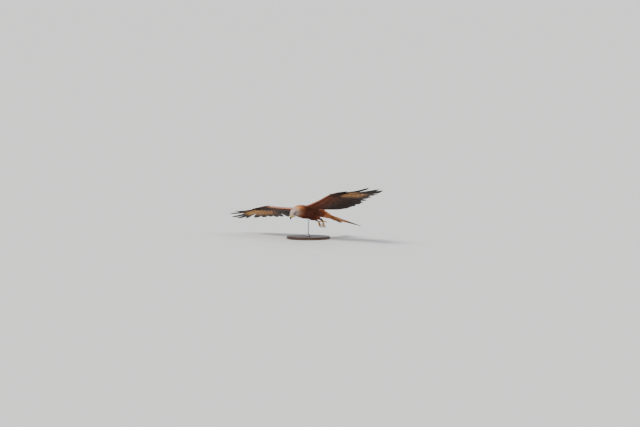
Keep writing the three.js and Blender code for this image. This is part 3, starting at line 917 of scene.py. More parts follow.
@dataclass
class Vanes:
    """Many feathers of one fineness, made as one mesh.

    The arrays have one row for each feather and one entry for each step along it, in the bird's frame.
    Home is where each feather's own patch of the map OFBake starts, and room is the patch's size.
    """

    spine: Array
    outward: Array
    normal: Array
    outer: Array
    inner: Array
    tint: Array
    tint_under: Array
    marks: Array
    home: Array
    room: tuple[float, float] = (0.003, 0.003)
    columns: tuple[float, ...] = (-1, -0.5, 0, 0.5, 1)
    thick: float = 0.45
    camber: float = 0.12
    tilt: Array | float = 0.0
    ridge: float = 0.0
    ridge_width: float = 0.09

    def faces(self) -> tuple[Array, Array]:
        """Shapes the two faces of the feathers as closed lenses.

        Returns:
            The places of the upper face's points and of the lower face's.
        """
        u = np.array(self.columns, float)
        reach = self.reach()
        sag = self.camber * np.abs(reach) * np.abs(u) - np.asarray(self.tilt)[..., None] * reach
        body = (1 - u**2)[None, None] * self.thick * 0.5
        fade = np.linspace(1, 0.15, self.outer.shape[1])[None, :, None]
        spike = np.exp(-((u / self.ridge_width) ** 2))[None, None] * self.ridge * fade
        middle = self.spine[:, :, None] + self.outward[:, :, None] * reach[..., None]
        lift = self.normal[:, :, None]
        top, low = (body + spike - sag)[..., None], (body + spike + sag)[..., None]
        return middle + lift * top, middle - lift * low

    def reach(self) -> Array:
        """How far each point is from its shaft: above 0 on the outer web, below 0 on the inner one."""
        u = np.array(self.columns, float)
        return np.where(u[None, None] > 0, self.outer[..., None], self.inner[..., None]) * u

    def mesh(self, name: str) -> Object:
        """Builds the feathers.

        Args:
            name: The name of the mesh.

        Returns:
            The mesh as an object.
        """
        shape = (*self.outer.shape, len(self.columns))
        feathers, steps, width = shape
        run = np.diff(self.spine, axis=1, append=2 * self.spine[:, -1:] - self.spine[:, -2:-1])
        hand = np.sign(np.einsum("nki,nki->n", np.cross(self.outward, run), self.normal))[:, None]
        inside = np.zeros((steps, width), bool)
        inside[1:-1, 1:-1] = True
        top = np.arange(feathers * steps * width).reshape(shape)
        own = top.size + np.arange(feathers)[:, None, None] * int(inside.sum())
        low = np.where(inside, own + np.cumsum(inside).reshape(steps, width) - 1, top)

        def both(*faces: Array) -> Array:
            """The values of the upper face's points, then those of the lower face's own ones."""
            upper, lower = (np.broadcast_to(part, (*shape, part.shape[-1])) for part in (faces[0], faces[-1]))
            return np.concatenate([part.reshape(-1, part.shape[-1]) for part in (upper, lower[:, inside])])

        quads = np.concatenate([self._quads(top, hand < 0), self._quads(low, hand > 0)])
        mesh = bpy.data.meshes.new(name)
        places = both(*self.faces())
        mesh.vertices.add(len(places))
        mesh.vertices.foreach_set("co", BANK.place(places).ravel())
        mesh.loops.add(quads.size)
        mesh.loops.foreach_set("vertex_index", quads.ravel())
        mesh.polygons.add(len(quads))
        mesh.polygons.foreach_set("loop_start", np.arange(len(quads)) * 4)
        mesh.update(calc_edges=True)
        length = np.cumsum(np.linalg.norm(run, axis=-1), axis=1)
        lay = np.stack(np.broadcast_arrays(self.reach(), length[..., None]), -1)
        across, onward = np.array(self.columns) * 0.5 + 0.5, np.linspace(0, 1, steps)[:, None]
        spot = both(np.stack(np.broadcast_arrays(across, onward), -1)[None])[quads.ravel()] * (0.47, 0.97)
        spot[quads.size // 2 :, 0] += 0.5
        maps = {"vane": both(lay)[quads.ravel()]}
        maps["OFBake"] = both(self.home[:, None, None])[quads.ravel()] + spot * self.room
        for key, values in maps.items():
            mesh.uv_layers.new(name=key).data.foreach_set("uv", values.astype(np.float32).ravel())
        for key, value in (("tint", self.tint), ("tint_under", self.tint_under), ("marks", self.marks)):
            colours(mesh, key, both(value))
        number(mesh, "under", np.repeat([0.0, 1.0], len(quads) // 2), "FACE")
        mesh.polygons.foreach_set("use_smooth", np.ones(len(quads), bool))
        piece = bpy.data.objects.new(name, mesh)
        bpy.context.scene.collection.objects.link(piece)
        return piece

    @staticmethod
    def _quads(grid: Array, turned: Array) -> Array:
        """Lays faces over grids of points.

        Args:
            grid: The numbers of each feather's points.
            turned: Whether a feather's faces are wound the other way.

        Returns:
            The four corners of each face.
        """
        a, b = grid[:, :-1, :-1], grid[:, :-1, 1:]
        c, d = grid[:, 1:, 1:], grid[:, 1:, :-1]
        faces = np.where(turned[..., None, None], np.stack([a, d, c, b], -1), np.stack([a, b, c, d], -1))
        return faces.reshape(-1, 4)


# The bird's form, from the same sizes as its solids

SPINE = Curve(
    [
        (0, 172, -9), (0, 142, -9), (0, 100, -12), (0, 55, -14), (0, 10, -15), (0, -28, -16), (0.5, -54, -20),
        (2.5, -73, -29), (5.5, -89, -41), (9, -101, -53), (12.5, -111, -64), (14, -116, -70),
    ]
)  # fmt: skip
SPINE_HALF = (32, 39, 46, 52, 55, 47, 38, 30, 26.5, 23, 15.5, 9)
SPINE_ABOVE = (19, 24, 30, 36, 38, 37, 34, 30, 27, 22, 13, 8)
SPINE_BELOW = (37, 44, 53, 59, 61, 56, 50, 34, 24, 20, 14, 9)
# How deep the skin lies inside the solids, which stand for the tips of the coat
COAT_DEPTH = (4, 4.5, 5, 5, 5, 4.5, 4, 3.2, 2.2, 1.5, 1.1, 0.5)


def inset(values: tuple[float, ...]) -> Pairs:
    """The trunk's sizes against the share along it, less the depth of the coat."""
    return tuple((i / 11, v - d) for i, (v, d) in enumerate(zip(values, COAT_DEPTH)))


TRUNK = TubeShape(inset(SPINE_HALF), inset(SPINE_ABOVE), inset(SPINE_BELOW))
BILL_ROOT = SPINE.at(0.985)
FORWARD = unit(np.array([0.17, -0.66, -0.73]))
HEAD_LEFT = unit(np.cross(UP, FORWARD))
HEAD_UP = np.cross(FORWARD, HEAD_LEFT)
HEAD_AXES = np.array([HEAD_LEFT, FORWARD, HEAD_UP])
EYE_PLACE = (15.6, -17.0, 4.5)

LEADING_EDGE = ((20, -30), (110, -36), (220, -44), (318, -54), (400, -49), (446, -40))
FLESH_REAR = ((20, 92), (90, 84), (150, 64), (220, 36), (318, 10), (400, -18), (446, -30))
FLESH_THICKNESS = ((20, 30), (90, 23), (220, 16), (318, 12), (400, 7), (446, 3.4))
# How much of the arm's thickness is above its middle, and how much below
FLESH_FACES = (0.62, 0.4)
PRIMARY_ANGLE = ((1, 33), (3, 48), (5, 65), (7, 79), (8, 83), (9, 86.5), (10, 89.5))
PRIMARY_LENGTH = ((1, 256), (3, 264), (5, 308), (7, 388), (8, 400), (9, 380), (10, 285))
SECONDARY_ANGLE = ((1, 25), (5, 13), (9, 0), (13, -11))
SECONDARY_LENGTH = ((1, 250), (5, 226), (9, 200), (13, 166))


@dataclass(frozen=True)
class WingHeights:
    """How high a wing is held: along its front, along its trailing edge and at its primaries' tips."""

    front: Pairs
    trailing: Pairs
    tips: Pairs

    def flesh(self, x: Array, back: Array, rise: Array) -> Array:
        """Finds heights of the arm.

        Args:
            x: Distances out from the shoulder.
            back: Shares of the way from the arm's front to its rear.
            rise: Shares of its half thickness, above 0 for its upper face and below 0 for its lower one.

        Returns:
            The height at each place.
        """
        thick = along(FLESH_THICKNESS, x) * np.where(rise > 0, *FLESH_FACES)
        return along(self.front, x) + rise * mix(1, 0.42, back) * thick - 6 * back**2


HEIGHTS = {
    Side.LEFT: WingHeights(
        ((20, -2), (90, 6), (220, 27), (318, 46), (420, 57), (620, 52), (805, 44)),
        ((40, 0), (120, -2), (200, 1), (320, 15), (430, 34), (560, 42), (700, 42)),
        ((1, 40), (4, 41), (6, 40), (7, 41), (8, 38), (9, 44), (10, 60)),
    ),
    Side.RIGHT: WingHeights(
        ((20, -6), (90, 0), (220, 18), (318, 34), (420, 40), (620, 40), (805, 38)),
        ((40, -22), (120, -32), (200, -26), (320, -6), (430, 3), (560, 12), (700, 13)),
        ((1, 4), (3, 7), (6, 9), (7, 11), (8, 20), (9, 42), (10, 48)),
    ),
}


def arm_edges(x: Array) -> tuple[Array, Array]:
    """How far back the arm's front and rear are, at distances out from the shoulder."""
    return along(LEADING_EDGE, x) + 1.5, along(FLESH_REAR, x) - 2


def head_point(left: float, forward: float, up: float) -> Array:
    """A point of the head, from the root of its bill, in the bird's frame."""
    return BILL_ROOT + np.array([left, forward, up]) @ HEAD_AXES


def head_place(points: Array) -> Array:
    """How far points of the bird are to either side of, in front of and above the bill's root."""
    side, front, over = ((points - BILL_ROOT) @ HEAD_AXES.T).T
    return np.stack([np.abs(side), front, over], -1)


@dataclass(frozen=True)
class Limb:
    """A leg, by its four joints and the spread of its toes."""

    side: Side
    hip: Triple
    knee: Triple
    heel: Triple
    ankle: Triple
    spread: float

    def point(self, joint: str) -> Array:
        """A joint's place in the bird's frame."""
        return np.array(getattr(self, joint), float) * (self.side.value, 1, 1)

    def thigh(self) -> Curve:
        """The thigh's middle, from the hip over the knee to the heel."""
        return Curve([self.point("hip"), self.point("knee"), self.point("heel")])


LIMBS = (
    Limb(Side.LEFT, (28, 74, -36), (31, 98, -56), (31, 122, -66), (30, 152, -83), 8),
    Limb(Side.RIGHT, (28, 76, -36), (31, 102, -54), (31, 128, -63), (31, 164, -77), 4),
)
THIGH = TubeShape(
    ((0, 24), (0.45, 20), (0.8, 12), (1, 6.6)),
    ((0, 26), (0.45, 20), (0.8, 11), (1, 6.2)),
    ((0, 26), (0.45, 21), (0.8, 13), (1, 6.6)),
    -2.2,
)
TAIL_ROOT_CURVE = Curve([(0, 128, -9), (0, 165, -12), (0, 205, -22), (0, 240, -35), (0, 268, -45)])
TAIL_ROOT = TubeShape(
    ((0, 37), (0.3, 32), (0.6, 26), (1, 9)),
    ((0, 22), (0.3, 18), (0.7, 9), (1, 2.4)),
    ((0, 40), (0.3, 33), (0.6, 21), (1, 2.4)),
)
TAIL_TWIST = math.radians(11)
TAIL_DROOP = math.radians(-12.5)
TAIL_OVER = np.array([math.sin(TAIL_TWIST), 0, math.cos(TAIL_TWIST)])


class Markings:
    """The colours of the bird's coat, shared by its skin and its feathers."""

    BACK = (
        (0.0, srgb(170, 92, 50)), (0.12, srgb(140, 72, 42)), (0.24, srgb(80, 44, 31)),
        (0.46, srgb(72, 40, 29)), (0.53, srgb(128, 68, 38)), (0.59, srgb(216, 130, 64)),
        (0.66, srgb(218, 156, 100)), (0.73, srgb(198, 160, 142)), (0.82, srgb(204, 180, 171)),
        (1.0, srgb(211, 191, 182)),
    )  # fmt: skip
    # The belly's colours are its real rufous, darkened with painted shade under the body.
    BELLY_WITH_PAINTED_SHADE = (
        (0.0, srgb(150, 80, 46)), (0.15, srgb(104, 50, 31)), (0.3, srgb(78, 35, 24)),
        (0.48, srgb(74, 34, 24)), (0.58, srgb(112, 60, 40)), (0.68, srgb(168, 126, 100)),
        (0.78, srgb(186, 171, 158)), (1.0, srgb(204, 191, 180)),
    )  # fmt: skip
    THIGH_COLOUR = srgb(112, 56, 35)
    WING_TOP = srgb(96, 56, 38)
    WING_UNDER = srgb(110, 56, 34)
    # The painted shade round the eyes: its depth, where it begins and ends, and how the head's axes count in
    # it
    SMUDGE = (0.33, 7.2, 15.0)
    EYE_PAINTED_SHADE_SHAPE = (1, 0.72, 1.25)

    @staticmethod
    def ramp(stops: tuple[tuple[float, Array], ...], t: Array) -> Array:
        """Reads a run of colours at shares t."""
        places, tones = zip(*stops)
        return np.stack([np.interp(t, places, channel) for channel in np.array(tones).T], -1)

    @classmethod
    def body(cls, t: Array, height: Array) -> Array:
        """The coat's colour on the trunk at shares t of the spine; height says how far up a place faces, and
        the belly's colours below carry painted shade.
        """
        share = smooth(height, -0.35, 0.35)[..., None]
        return mix(cls.ramp(cls.BELLY_WITH_PAINTED_SHADE, t), cls.ramp(cls.BACK, t), share)

    @classmethod
    def smudge(cls, points: Array) -> Array:
        """How much painted shade darkens the coat round the eyes, at points of the bird."""
        gap = np.linalg.norm((head_place(points) - EYE_PLACE) * cls.EYE_PAINTED_SHADE_SHAPE, axis=1)
        return mix(cls.SMUDGE[0], 1, smooth(gap, *cls.SMUDGE[1:]))[:, None]

    @classmethod
    def skin(cls, points: Array, normals: Array) -> Array:
        """Colours the skin.

        Args:
            points: Points of the bird, in its own frame.
            normals: The skin's directions out.

        Returns:
            The skin's colour at each point.
        """
        upward = normals @ UP
        colour = cls.body(SPINE.nearest(points)[0], upward) * cls.smudge(points)
        plumage = np.where((upward > 0)[:, None], cls.WING_TOP, cls.WING_UNDER)
        colour = mix(colour, plumage, smooth(np.abs(points[:, 0]), 52, 70)[:, None])
        for limb in LIMBS:
            gap = np.linalg.norm(points - limb.point("knee"), axis=1)
            colour = mix(colour, cls.THIGH_COLOUR, smooth(-gap, -30, -18)[:, None])
        return colour


@dataclass
class Skin:
    """The one skin of the trunk, neck, head, thighs and wing arms, under the feathers."""

    voxel: float = 0.0023
    arm_start: float = 20.0
    arm_end: float = 446.0
    grip: float = 14.0
    steepest: float = 0.55
    piece: Object = field(init=False)
    tree: BVHTree = field(init=False)

    # The head's lumps: the chin, then a cheek and a brow of each side, by their places and radii
    CHIN = ((0, -8, -8.4), (6.7, 10.2, 3.8))
    CHEEK = ((10.2, -15, -7), (9.9, 16, 8.6))
    BROW = ((14.2, -20, 11.2), (4.8, 11.5, 2.6))

    def __post_init__(self) -> None:
        """Builds the skin, with its colours, and a tree for finding places on it."""
        limbs = []
        for limb in LIMBS:
            limbs += [THIGH.build("thigh_form", (32, 24), limb.thigh()), self.arm(limb.side)]
        trunk = TRUNK.build("trunk", (64, 90), SPINE)
        tail = TAIL_ROOT.build("tail_root", (40, 30), TAIL_ROOT_CURVE, TAIL_OVER)
        self.piece = melted(joined("skin", [trunk, tail, *self.face(), *limbs]), self.voxel, 0.5, 6)
        mesh = self.piece.data
        points = BANK.unplace(corners(self.piece))
        normals = np.array([normal.vector for normal in mesh.vertex_normals])
        colours(mesh, "tint", Markings.skin(points, normals @ BANK.axes.T))
        self.tree = BVHTree.FromPolygons(points.tolist(), [tuple(face.vertices) for face in mesh.polygons])
        SKIN_PAINT.dress(self.piece, "torso", "neck", "head", "thigh_left", "thigh_right")

    def face(self) -> list[Object]:
        """The chin, cheeks and brows."""
        lumps = [self.CHIN]
        for side in (1, -1):
            lumps += [((side * x, y, z), radii) for (x, y, z), radii in (self.CHEEK, self.BROW)]
        return [ball("face_form", head_point(*place), radii, HEAD_AXES) for place, radii in lumps]

    def arm(self, side: Side) -> Object:
        """Builds the fleshy front of one wing, from the shoulder to the end of the hand.

        Args:
            side: The wing's side.

        Returns:
            The arm.
        """

        def place(t: Array, angle: Array, radius: Array) -> Array:
            """The places of the arm's vertices."""
            x = mix(self.arm_start, self.arm_end, t)
            back = 0.5 - 0.5 * np.cos(angle) * radius
            height = HEIGHTS[side].flesh(x, back, np.sin(angle) * radius)
            return BANK.place(np.stack([side.value * x, mix(*arm_edges(x), back), height], -1))

        return tube("arm_form", 40, 110, place)

    def march(self, roots: Array, headings: Array, lengths: Array, shares: Array) -> Arrays:
        """Lays feathers along the skin.

        Args:
            roots: Where each feather starts, in the bird's frame.
            headings: The direction in which each one points.
            lengths: How long each one is.
            shares: The share along a feather of each of its points.

        Returns:
            The points of each feather, the skin's direction out at each, and the share of it off the skin.
        """
        points = np.zeros((len(roots), len(shares), 3))
        loose = np.zeros(len(roots))
        normals = np.zeros_like(points)
        strides = np.append(np.diff(shares), 0)
        for i, (root, heading, length) in enumerate(zip(roots, headings, lengths)):
            here, out, _, _ = self.tree.find_nearest(Vector(root))
            way = Vector(heading)
            way = (way - out * way.dot(out)).normalized()
            for k, stride in enumerate(strides):
                points[i, k] = here
                normals[i, k] = out
                ahead = here + way * float(length * stride)
                near, face, _, gap = self.tree.find_nearest(ahead)
                if gap < self.grip and face.dot(way) < self.steepest:
                    here = near
                    out = (out * 0.5 + face * 0.5).normalized()
                    way = (way - out * way.dot(out)).normalized()
                else:
                    here = ahead
                    way = (way + Vector(heading)).normalized()
                    loose[i] += stride
        return points, normals, loose


# The wings and the tail


@dataclass(frozen=True)
class Dye:
    """A feather's colours: its middle, its edge, its hidden side, and its streak and bars."""

    middle: Array
    edge: Array
    under: Array
    streak: float = 0.0
    bars: float = 0.0
    edge_from: float = 0.55

    def colours(self, own: Array, t: Array, base: Array | None = None) -> Array:
        """Colours the upper sides of feathers.

        Args:
            own: A random share for each feather.
            t: The share along the feather of each step.
            base: A colour for each feather, in place of the dye's middle.

        Returns:
            A colour for each feather, step and column.
        """
        middle = self.middle[None] if base is None else base
        edge = self.edge[None] if base is None else (base * 1.5 + self.edge) / 2
        tip = smooth(t, self.edge_from, 1.0)[:, None] ** 2
        rim = np.maximum(np.abs(COVERT_COLUMNS)[None, :], tip)
        share = smooth(rim, self.edge_from, 1.0)[None, :, :, None]
        tint = mix(middle[:, None, None], edge[:, None, None], share)
        return tint * (0.82 + 0.36 * own)[:, None, None, None]

    def marks(self, own: Array) -> Array:
        """The streak, bars and random share of each feather."""
        return marked(self.streak * (0.7 + 0.6 * own), self.bars, own)


@dataclass(frozen=True)
class CovertRow:
    """A row of coverts: how far back it starts, how dense and long it is, and its colours."""

    back: float
    spacing: float
    length: float
    hand: float
    outer: float
    inner: float
    dye: Dye
    lift: float = 2.2
    shift: float = 0.0
    backward: float = 0.0
    stack: float = 0.0
    patch: float = 0.006


def covert_rows(long: tuple[Dye, Dye], short: list[Dye], front: Dye) -> list[CovertRow]:
    """The rows of coverts on one face of a wing.

    Args:
        long: The colours of the greater and the median coverts.
        short: The colours of the lesser rows, from the back of the wing to its front.
        front: The colours of the rows at its front edge.

    Returns:
        The rows, the longest first.
    """
    rows = [
        CovertRow(1.0, 12.4, 92, 1.02, 11.5, 16, long[0], 1.2, patch=0.01),
        CovertRow(0.86, 9.6, 66, 0.95, 9.5, 11.5, long[1], 1.5, 0.5, stack=0.8, patch=0.008),
    ]
    for i, dye in enumerate(short):
        sizes = (0.72 - 0.125 * i, 8.2 - 0.4 * i, 46 - 3.4 * i, 0.8, 7.4, 8)
        rows.append(CovertRow(*sizes, dye, 1.3, 0.5 * (i % 2), 0.15 + 0.05 * i, 1.3 - 0.12 * i))
    rows.append(CovertRow(0.045, 6.4, 24, 0.75, 5.4, 5.8, front, 1.4, 0.0, 0.4))
    rows.append(CovertRow(0.0, 6.0, 16, 0.7, 4.8, 5.2, front, 1.0, 0.5, 0.5))
    return rows


COVERT_COLUMNS = (-1, -0.55, 0, 0.55, 1)
FLIGHT_COLUMNS = (-1, -0.86, -0.62, -0.36, -0.12, 0, 0.12, 0.36, 0.66, 0.88, 1)
TAIL_COLUMNS = (-1, -0.86, -0.6, -0.3, -0.1, 0, 0.1, 0.36, 0.66, 0.88, 1)
# The coverts along the wing's front edge are rufous, made pinker and lighter with painted light.
EDGE_DYE_WITH_PAINTED_LIGHT = Dye(srgb(188, 120, 94), srgb(216, 160, 134), srgb(110, 70, 50), 0.06)
UPPER_GREATER = Dye(srgb(62, 43, 34), srgb(140, 98, 68), srgb(86, 68, 58), 0.09, 0.1)
UPPER_MEDIAN = Dye(srgb(146, 104, 72), srgb(196, 152, 112), srgb(104, 80, 64), 0.08)
UPPER_LESSER = Dye(srgb(92, 52, 35), srgb(152, 94, 60), srgb(80, 56, 44), 0.15)
UPPER_SHOULDER = Dye(srgb(142, 82, 56), srgb(186, 122, 88), srgb(80, 56, 44), 0.11)
LOWER_GREATER = Dye(srgb(62, 42, 34), srgb(112, 78, 58), srgb(78, 60, 52), 0.1, 0.15)
LOWER_MEDIAN = Dye(srgb(76, 44, 32), srgb(130, 82, 56), srgb(78, 60, 52), 0.24)
# The lesser and shoulder rows under the wing are rufous, darkened with painted shade.
LOWER_LESSER_WITH_PAINTED_SHADE = Dye(srgb(74, 37, 26), srgb(106, 58, 38), srgb(64, 46, 37), 0.16)
LOWER_SHOULDER_WITH_PAINTED_SHADE = Dye(srgb(90, 45, 31), srgb(124, 70, 47), srgb(64, 46, 37), 0.12)
LOWER_FRONT = Dye(srgb(136, 74, 52), srgb(168, 106, 80), srgb(80, 56, 44), 0.12)
UPPER_SHORT = [UPPER_LESSER] * 4 + [UPPER_SHOULDER] * 2
LOWER_SHORT_WITH_PAINTED_SHADE = [LOWER_LESSER_WITH_PAINTED_SHADE] * 3 + [LOWER_SHOULDER_WITH_PAINTED_SHADE] * 3
COVERT_ROWS = {
    Facing.UPPER: covert_rows((UPPER_GREATER, UPPER_MEDIAN), UPPER_SHORT, EDGE_DYE_WITH_PAINTED_LIGHT),
    Facing.LOWER: covert_rows((LOWER_GREATER, LOWER_MEDIAN), LOWER_SHORT_WITH_PAINTED_SHADE, LOWER_FRONT),
}


class Group(Enum):
    """The three runs of a wing's flight feathers, from the body outwards."""

    TERTIAL = 0
    SECONDARY = 1
    PRIMARY = 2


def lanes(first: float, across: float, count: int) -> Array:
    """Where each feather's strip of the map OFBake starts, when the map has room for across of them."""
    return np.stack([first + np.arange(count) / across, np.full(count, 0.01)], -1)


@dataclass
class Wing:
    """One wing's feathers, laid over its arm."""

    which: Side
    skin: Skin
    dice: np.random.Generator
    first_covert: float = 46.0
    last_covert: float = 440.0
    thumb_x: float = 312.0
    wrist_x: float = 318.0
    primaries: int = 10
    secondaries: int = 13
    tertials: int = 4
    first_finger: int = 6
    flight_steps: int = 40
    covert_steps: int = 9
    side: int = field(init=False)
    heights: WingHeights = field(init=False)
    layout: dict[str, Array] = field(init=False)

    KEYS = ("x", "y", "angle", "length", "outer", "inner", "bow", "arch", "notch", "tip", "group", "number")
    # The rows round the front edge, by their angles, and how much darker the hand's coverts are
    EDGE_TURNS = (-56, -40, -24, -8, 8, 24, 40, 56)
    DUSK = (0.26, 0.28, 0.34)

    def __post_init__(self) -> None:
        """Works out where the flight feathers grow."""
        self.side = self.which.value
        self.heights = HEIGHTS[self.which]
        self.layout = self._layout()

    def build(self) -> None:
        """Builds and finishes the wing's feathers."""
        label = self.which.label
        flight = joined(f"flight_{label}", [self.flight().mesh("flight"), self.alula().mesh("alula")])
        FLIGHT_PAINT.dress(flight, f"wing_{label}")
        for face in Facing:
            rows = [self.tier(row, face).mesh(f"row_{i}") for i, row in enumerate(COVERT_ROWS[face])]
            WING_PAINT.dress(joined(f"coverts_{face.name.lower()}_{label}", rows))
        WING_PAINT.dress(self.edge().mesh(f"coverts_edge_{label}"))

    def edge(self) -> Vanes:
        """The smallest coverts, which wrap the wing's front edge and point out along it."""
        roots, headings, homes = [], [], []
        for row, turn in enumerate(np.radians(self.EDGE_TURNS)):
            x = np.arange(70.0, 424.0, 5.2) + self.dice.normal(0, 0.9, 69)
            front = along(LEADING_EDGE, x) - 6 * math.cos(turn) + 4
            height = along(self.heights.front, x) + 9 * math.sin(turn)
            roots.append(np.stack([self.side * x, front, height], -1))
            heading = np.array([self.side * 1.0, 0.4 + 0.5 * abs(math.sin(turn)), 0.1 * math.sin(turn)])
            headings.append(np.tile(heading, (len(x), 1)))
            homes.append(np.stack([x / 470, np.full(len(x), 0.05 + 0.11 * row)], -1))
        roots, headings, homes = map(np.concatenate, (roots, headings, homes))
        hand = smooth(np.abs(roots[:, 0]), 280, 420)
        own = self.dice.random(len(roots))
        run = tips_of(7, 1.6)
        headings = headings + self.dice.normal(0, 0.05, headings.shape)
        length = mix(17, 12, hand) * self.dice.normal(1, 0.1, len(roots))
        points, normals, _ = self.skin.march(roots, headings, length, run)
        lying = resting(points, normals, (0.1 + 0.45 * run)[None])
        half = mix(3.6, 2.6, hand)[:, None] * vane_width(run, 0.5, 0.5)[None]
        # Painted light: the front edge's rufous is made pinker and lighter.
        tint = EDGE_DYE_WITH_PAINTED_LIGHT.colours(own, run) * self.dusk(np.abs(roots[:, 0]))
        return Vanes(*lying, half, half, tint, EDGE_DYE_WITH_PAINTED_LIGHT.under, EDGE_DYE_WITH_PAINTED_LIGHT.marks(own), homes, thick=0.2)

    def dusk(self, x: Array) -> Array:
        """How much darker the coverts are on the hand than on the arm, at distances from the shoulder."""
        return mix(np.ones(3), np.array(self.DUSK), smooth(x, 290, 345)[:, None])[:, None, None]

    def _layout(self) -> dict[str, Array]:
        """Places the flight feathers.

        Returns:
            Their roots, directions, sizes, bends and groups, innermost first.
        """
        rows = []
        for n in range(self.tertials, 0, -1):
            q = n / self.tertials
            place = (mix(146, 82, q), mix(46, 52, q), mix(-11, -9, q), mix(158, 116, q))
            rows.append((*place, 14, 22, 0, 3, 1, np.nan, Group.TERTIAL.value, n))
        for n in range(self.secondaries, 0, -1):
            q = (n - 1) / (self.secondaries - 1)
            length = along(SECONDARY_LENGTH, n) + self.ragged(n)
            place = (mix(310, 146, q), mix(-22, 46, q), along(SECONDARY_ANGLE, n), length)
            rows.append((*place, 12, 24, -3, 3, 1, np.nan, Group.SECONDARY.value, n))
        for n in range(1, self.primaries + 1):
            q = (n - 1) / (self.primaries - 1)
            finger = n >= self.first_finger
            x = mix(326, 432, q)
            length = along(PRIMARY_LENGTH, n) + (0 if finger else self.ragged(n + 1.5))
            place = (x, along(LEADING_EDGE, x) + mix(27, 10, q), along(PRIMARY_ANGLE, n), length)
            webs = (9 if n > self.first_finger else 12, 25 if finger else 33)
            bends = (-7 if finger else -4, -9 if n > self.first_finger else 2)
            notch = mix(0.66, 0.5, (n - self.first_finger) / 4) if finger else 1
            rows.append((*place, *webs, *bends, notch, along(self.heights.tips, n), Group.PRIMARY.value, n))
        return dict(zip(self.KEYS, np.array(rows, float).T))

    @staticmethod
    def ragged(n: float) -> float:
        """How much longer or shorter than its neighbours' run a worn feather is."""
        return (13.0 * math.sin(2.3 * n) + 5.0 * math.sin(5.1 * n)) * (1 - 0.7 * float(smooth(n, 4, 8)))

    def curves(self, layout: dict[str, Array]) -> Arrays:
        """Finds the curves of feather shafts.

        Args:
            layout: The feathers' roots, directions, sizes and bends.

        Returns:
            The points that the shafts leave, lean to and end at.
        """
        x, y, length = layout["x"], layout["y"], layout["length"]
        angle = np.radians(layout["angle"])
        sink = np.where(layout["group"] == Group.PRIMARY.value, 2.0, 3.0)
        root = np.stack([self.side * x, y, along(self.heights.front, x) - sink], -1)
        far = x + length * np.sin(angle)
        tip_height = np.where(np.isnan(layout["tip"]), along(self.heights.trailing, far), layout["tip"])
        tip = np.stack([self.side * far, y + length * np.cos(angle), tip_height], -1)
        away = unit(np.cross(tip - root, UP)) * self.side
        lean = (root + tip) / 2 - away * 2 * layout["bow"][:, None] + UP * 2 * layout["arch"][:, None]
        return root, lean, tip

    def flight(self) -> Vanes:
        """The primaries, secondaries and tertials."""
        lay = self.layout
        count = len(lay["x"])
        t = tips_of(self.flight_steps, 1.25)
        spine = bezier(self.curves(lay), t)
        across, over = shaft_frames(spine, self.side)
        notch = lay["notch"][:, None]
        finger = np.where(notch < 1, smooth((t - notch) / 0.14 + 0.5, 0, 1), 0)
        cut = 1 - 0.52 * finger
        end = np.where(notch < 1, vane_width(t, 0.3, 0.8), vane_width(t, 0.3, 0.76))
        wear = 1 - 0.09 * (self.dice.random((count, self.flight_steps)) < 0.12) * smooth(t, 0.3, 0.5)
        webs = (lay["outer"][:, None] * end * mix(1, cut, 0.5), lay["inner"][:, None] * end * cut * wear)
        hand_bars = np.where(lay["number"] < self.first_finger, 0.5, 0.12)
        bars = np.where(lay["group"] == Group.PRIMARY.value, hand_bars, 0.45)
        marks = marked(0.085, bars, self.dice.random(count))
        stride = np.gradient(spine, axis=0)
        slope = stride[..., 2] / np.maximum(np.sum(stride * across, axis=-1), 3.0)
        tilt = mix(np.clip(slope, -0.12, 0.3), 0.3, finger) + 0.05
        return Vanes(
            spine, across, over, *webs, *self._flight_colours(t), marks, lanes(0.002, 32, count),
            (1 / 33, 0.97), FLIGHT_COLUMNS, thick=0.5, camber=0.06, tilt=tilt, ridge=0.5,
        )  # fmt: skip

    def _flight_colours(self, t: Array) -> tuple[Array, Array]:
        """Colours the flight feathers.

        Args:
            t: The share along the feather of each step.

        Returns:
            Their colours above and below, for each feather, step and column.
        """
        n = self.layout["number"][:, None, None, None]
        group = self.layout["group"][:, None, None, None]
        hand = group == Group.PRIMARY.value
        t = t[None, :, None, None]
        u = np.array(FLIGHT_COLUMNS)[None, None, :, None]
        black = srgb(20, 17, 17)
        finger = smooth(n, 4.5, 6.5) * hand
        top = mix(srgb(74, 56, 45), srgb(50, 37, 31), smooth(t, 0.1, 0.7))
        top = mix(top, black, np.maximum(finger * smooth(t, 0.2, 0.55), 0.5 * smooth(t, 0.84, 0.97)))
        top = mix(top, srgb(132, 100, 76), smooth(np.abs(u), 0.7, 1.0) * ~hand * 0.5)
        # Painted shade: the whitish window under the primaries is given the tan of a pale patch in warm,
        # ground-lit shade.
        patch = np.where(hand, mix(srgb(166, 114, 64), srgb(190, 142, 88), smooth(n, 4, 8)), srgb(60, 38, 28))
        patch = mix(srgb(82, 58, 44), patch, np.where(hand, smooth(n, 1.2, 3.6), 1))
        patch = mix(patch, srgb(58, 42, 35), smooth(n, 8.2, 9.4) * hand)
        dusk = np.where(hand, mix(srgb(52, 35, 27), black, finger), srgb(42, 27, 21))
        limit = np.where(hand, mix(0.74, 0.5, smooth(n, 4, 8)), 0.55)
        return top, mix(patch, dusk, smooth((t - limit) / 0.22 + 0.5, 0, 1))

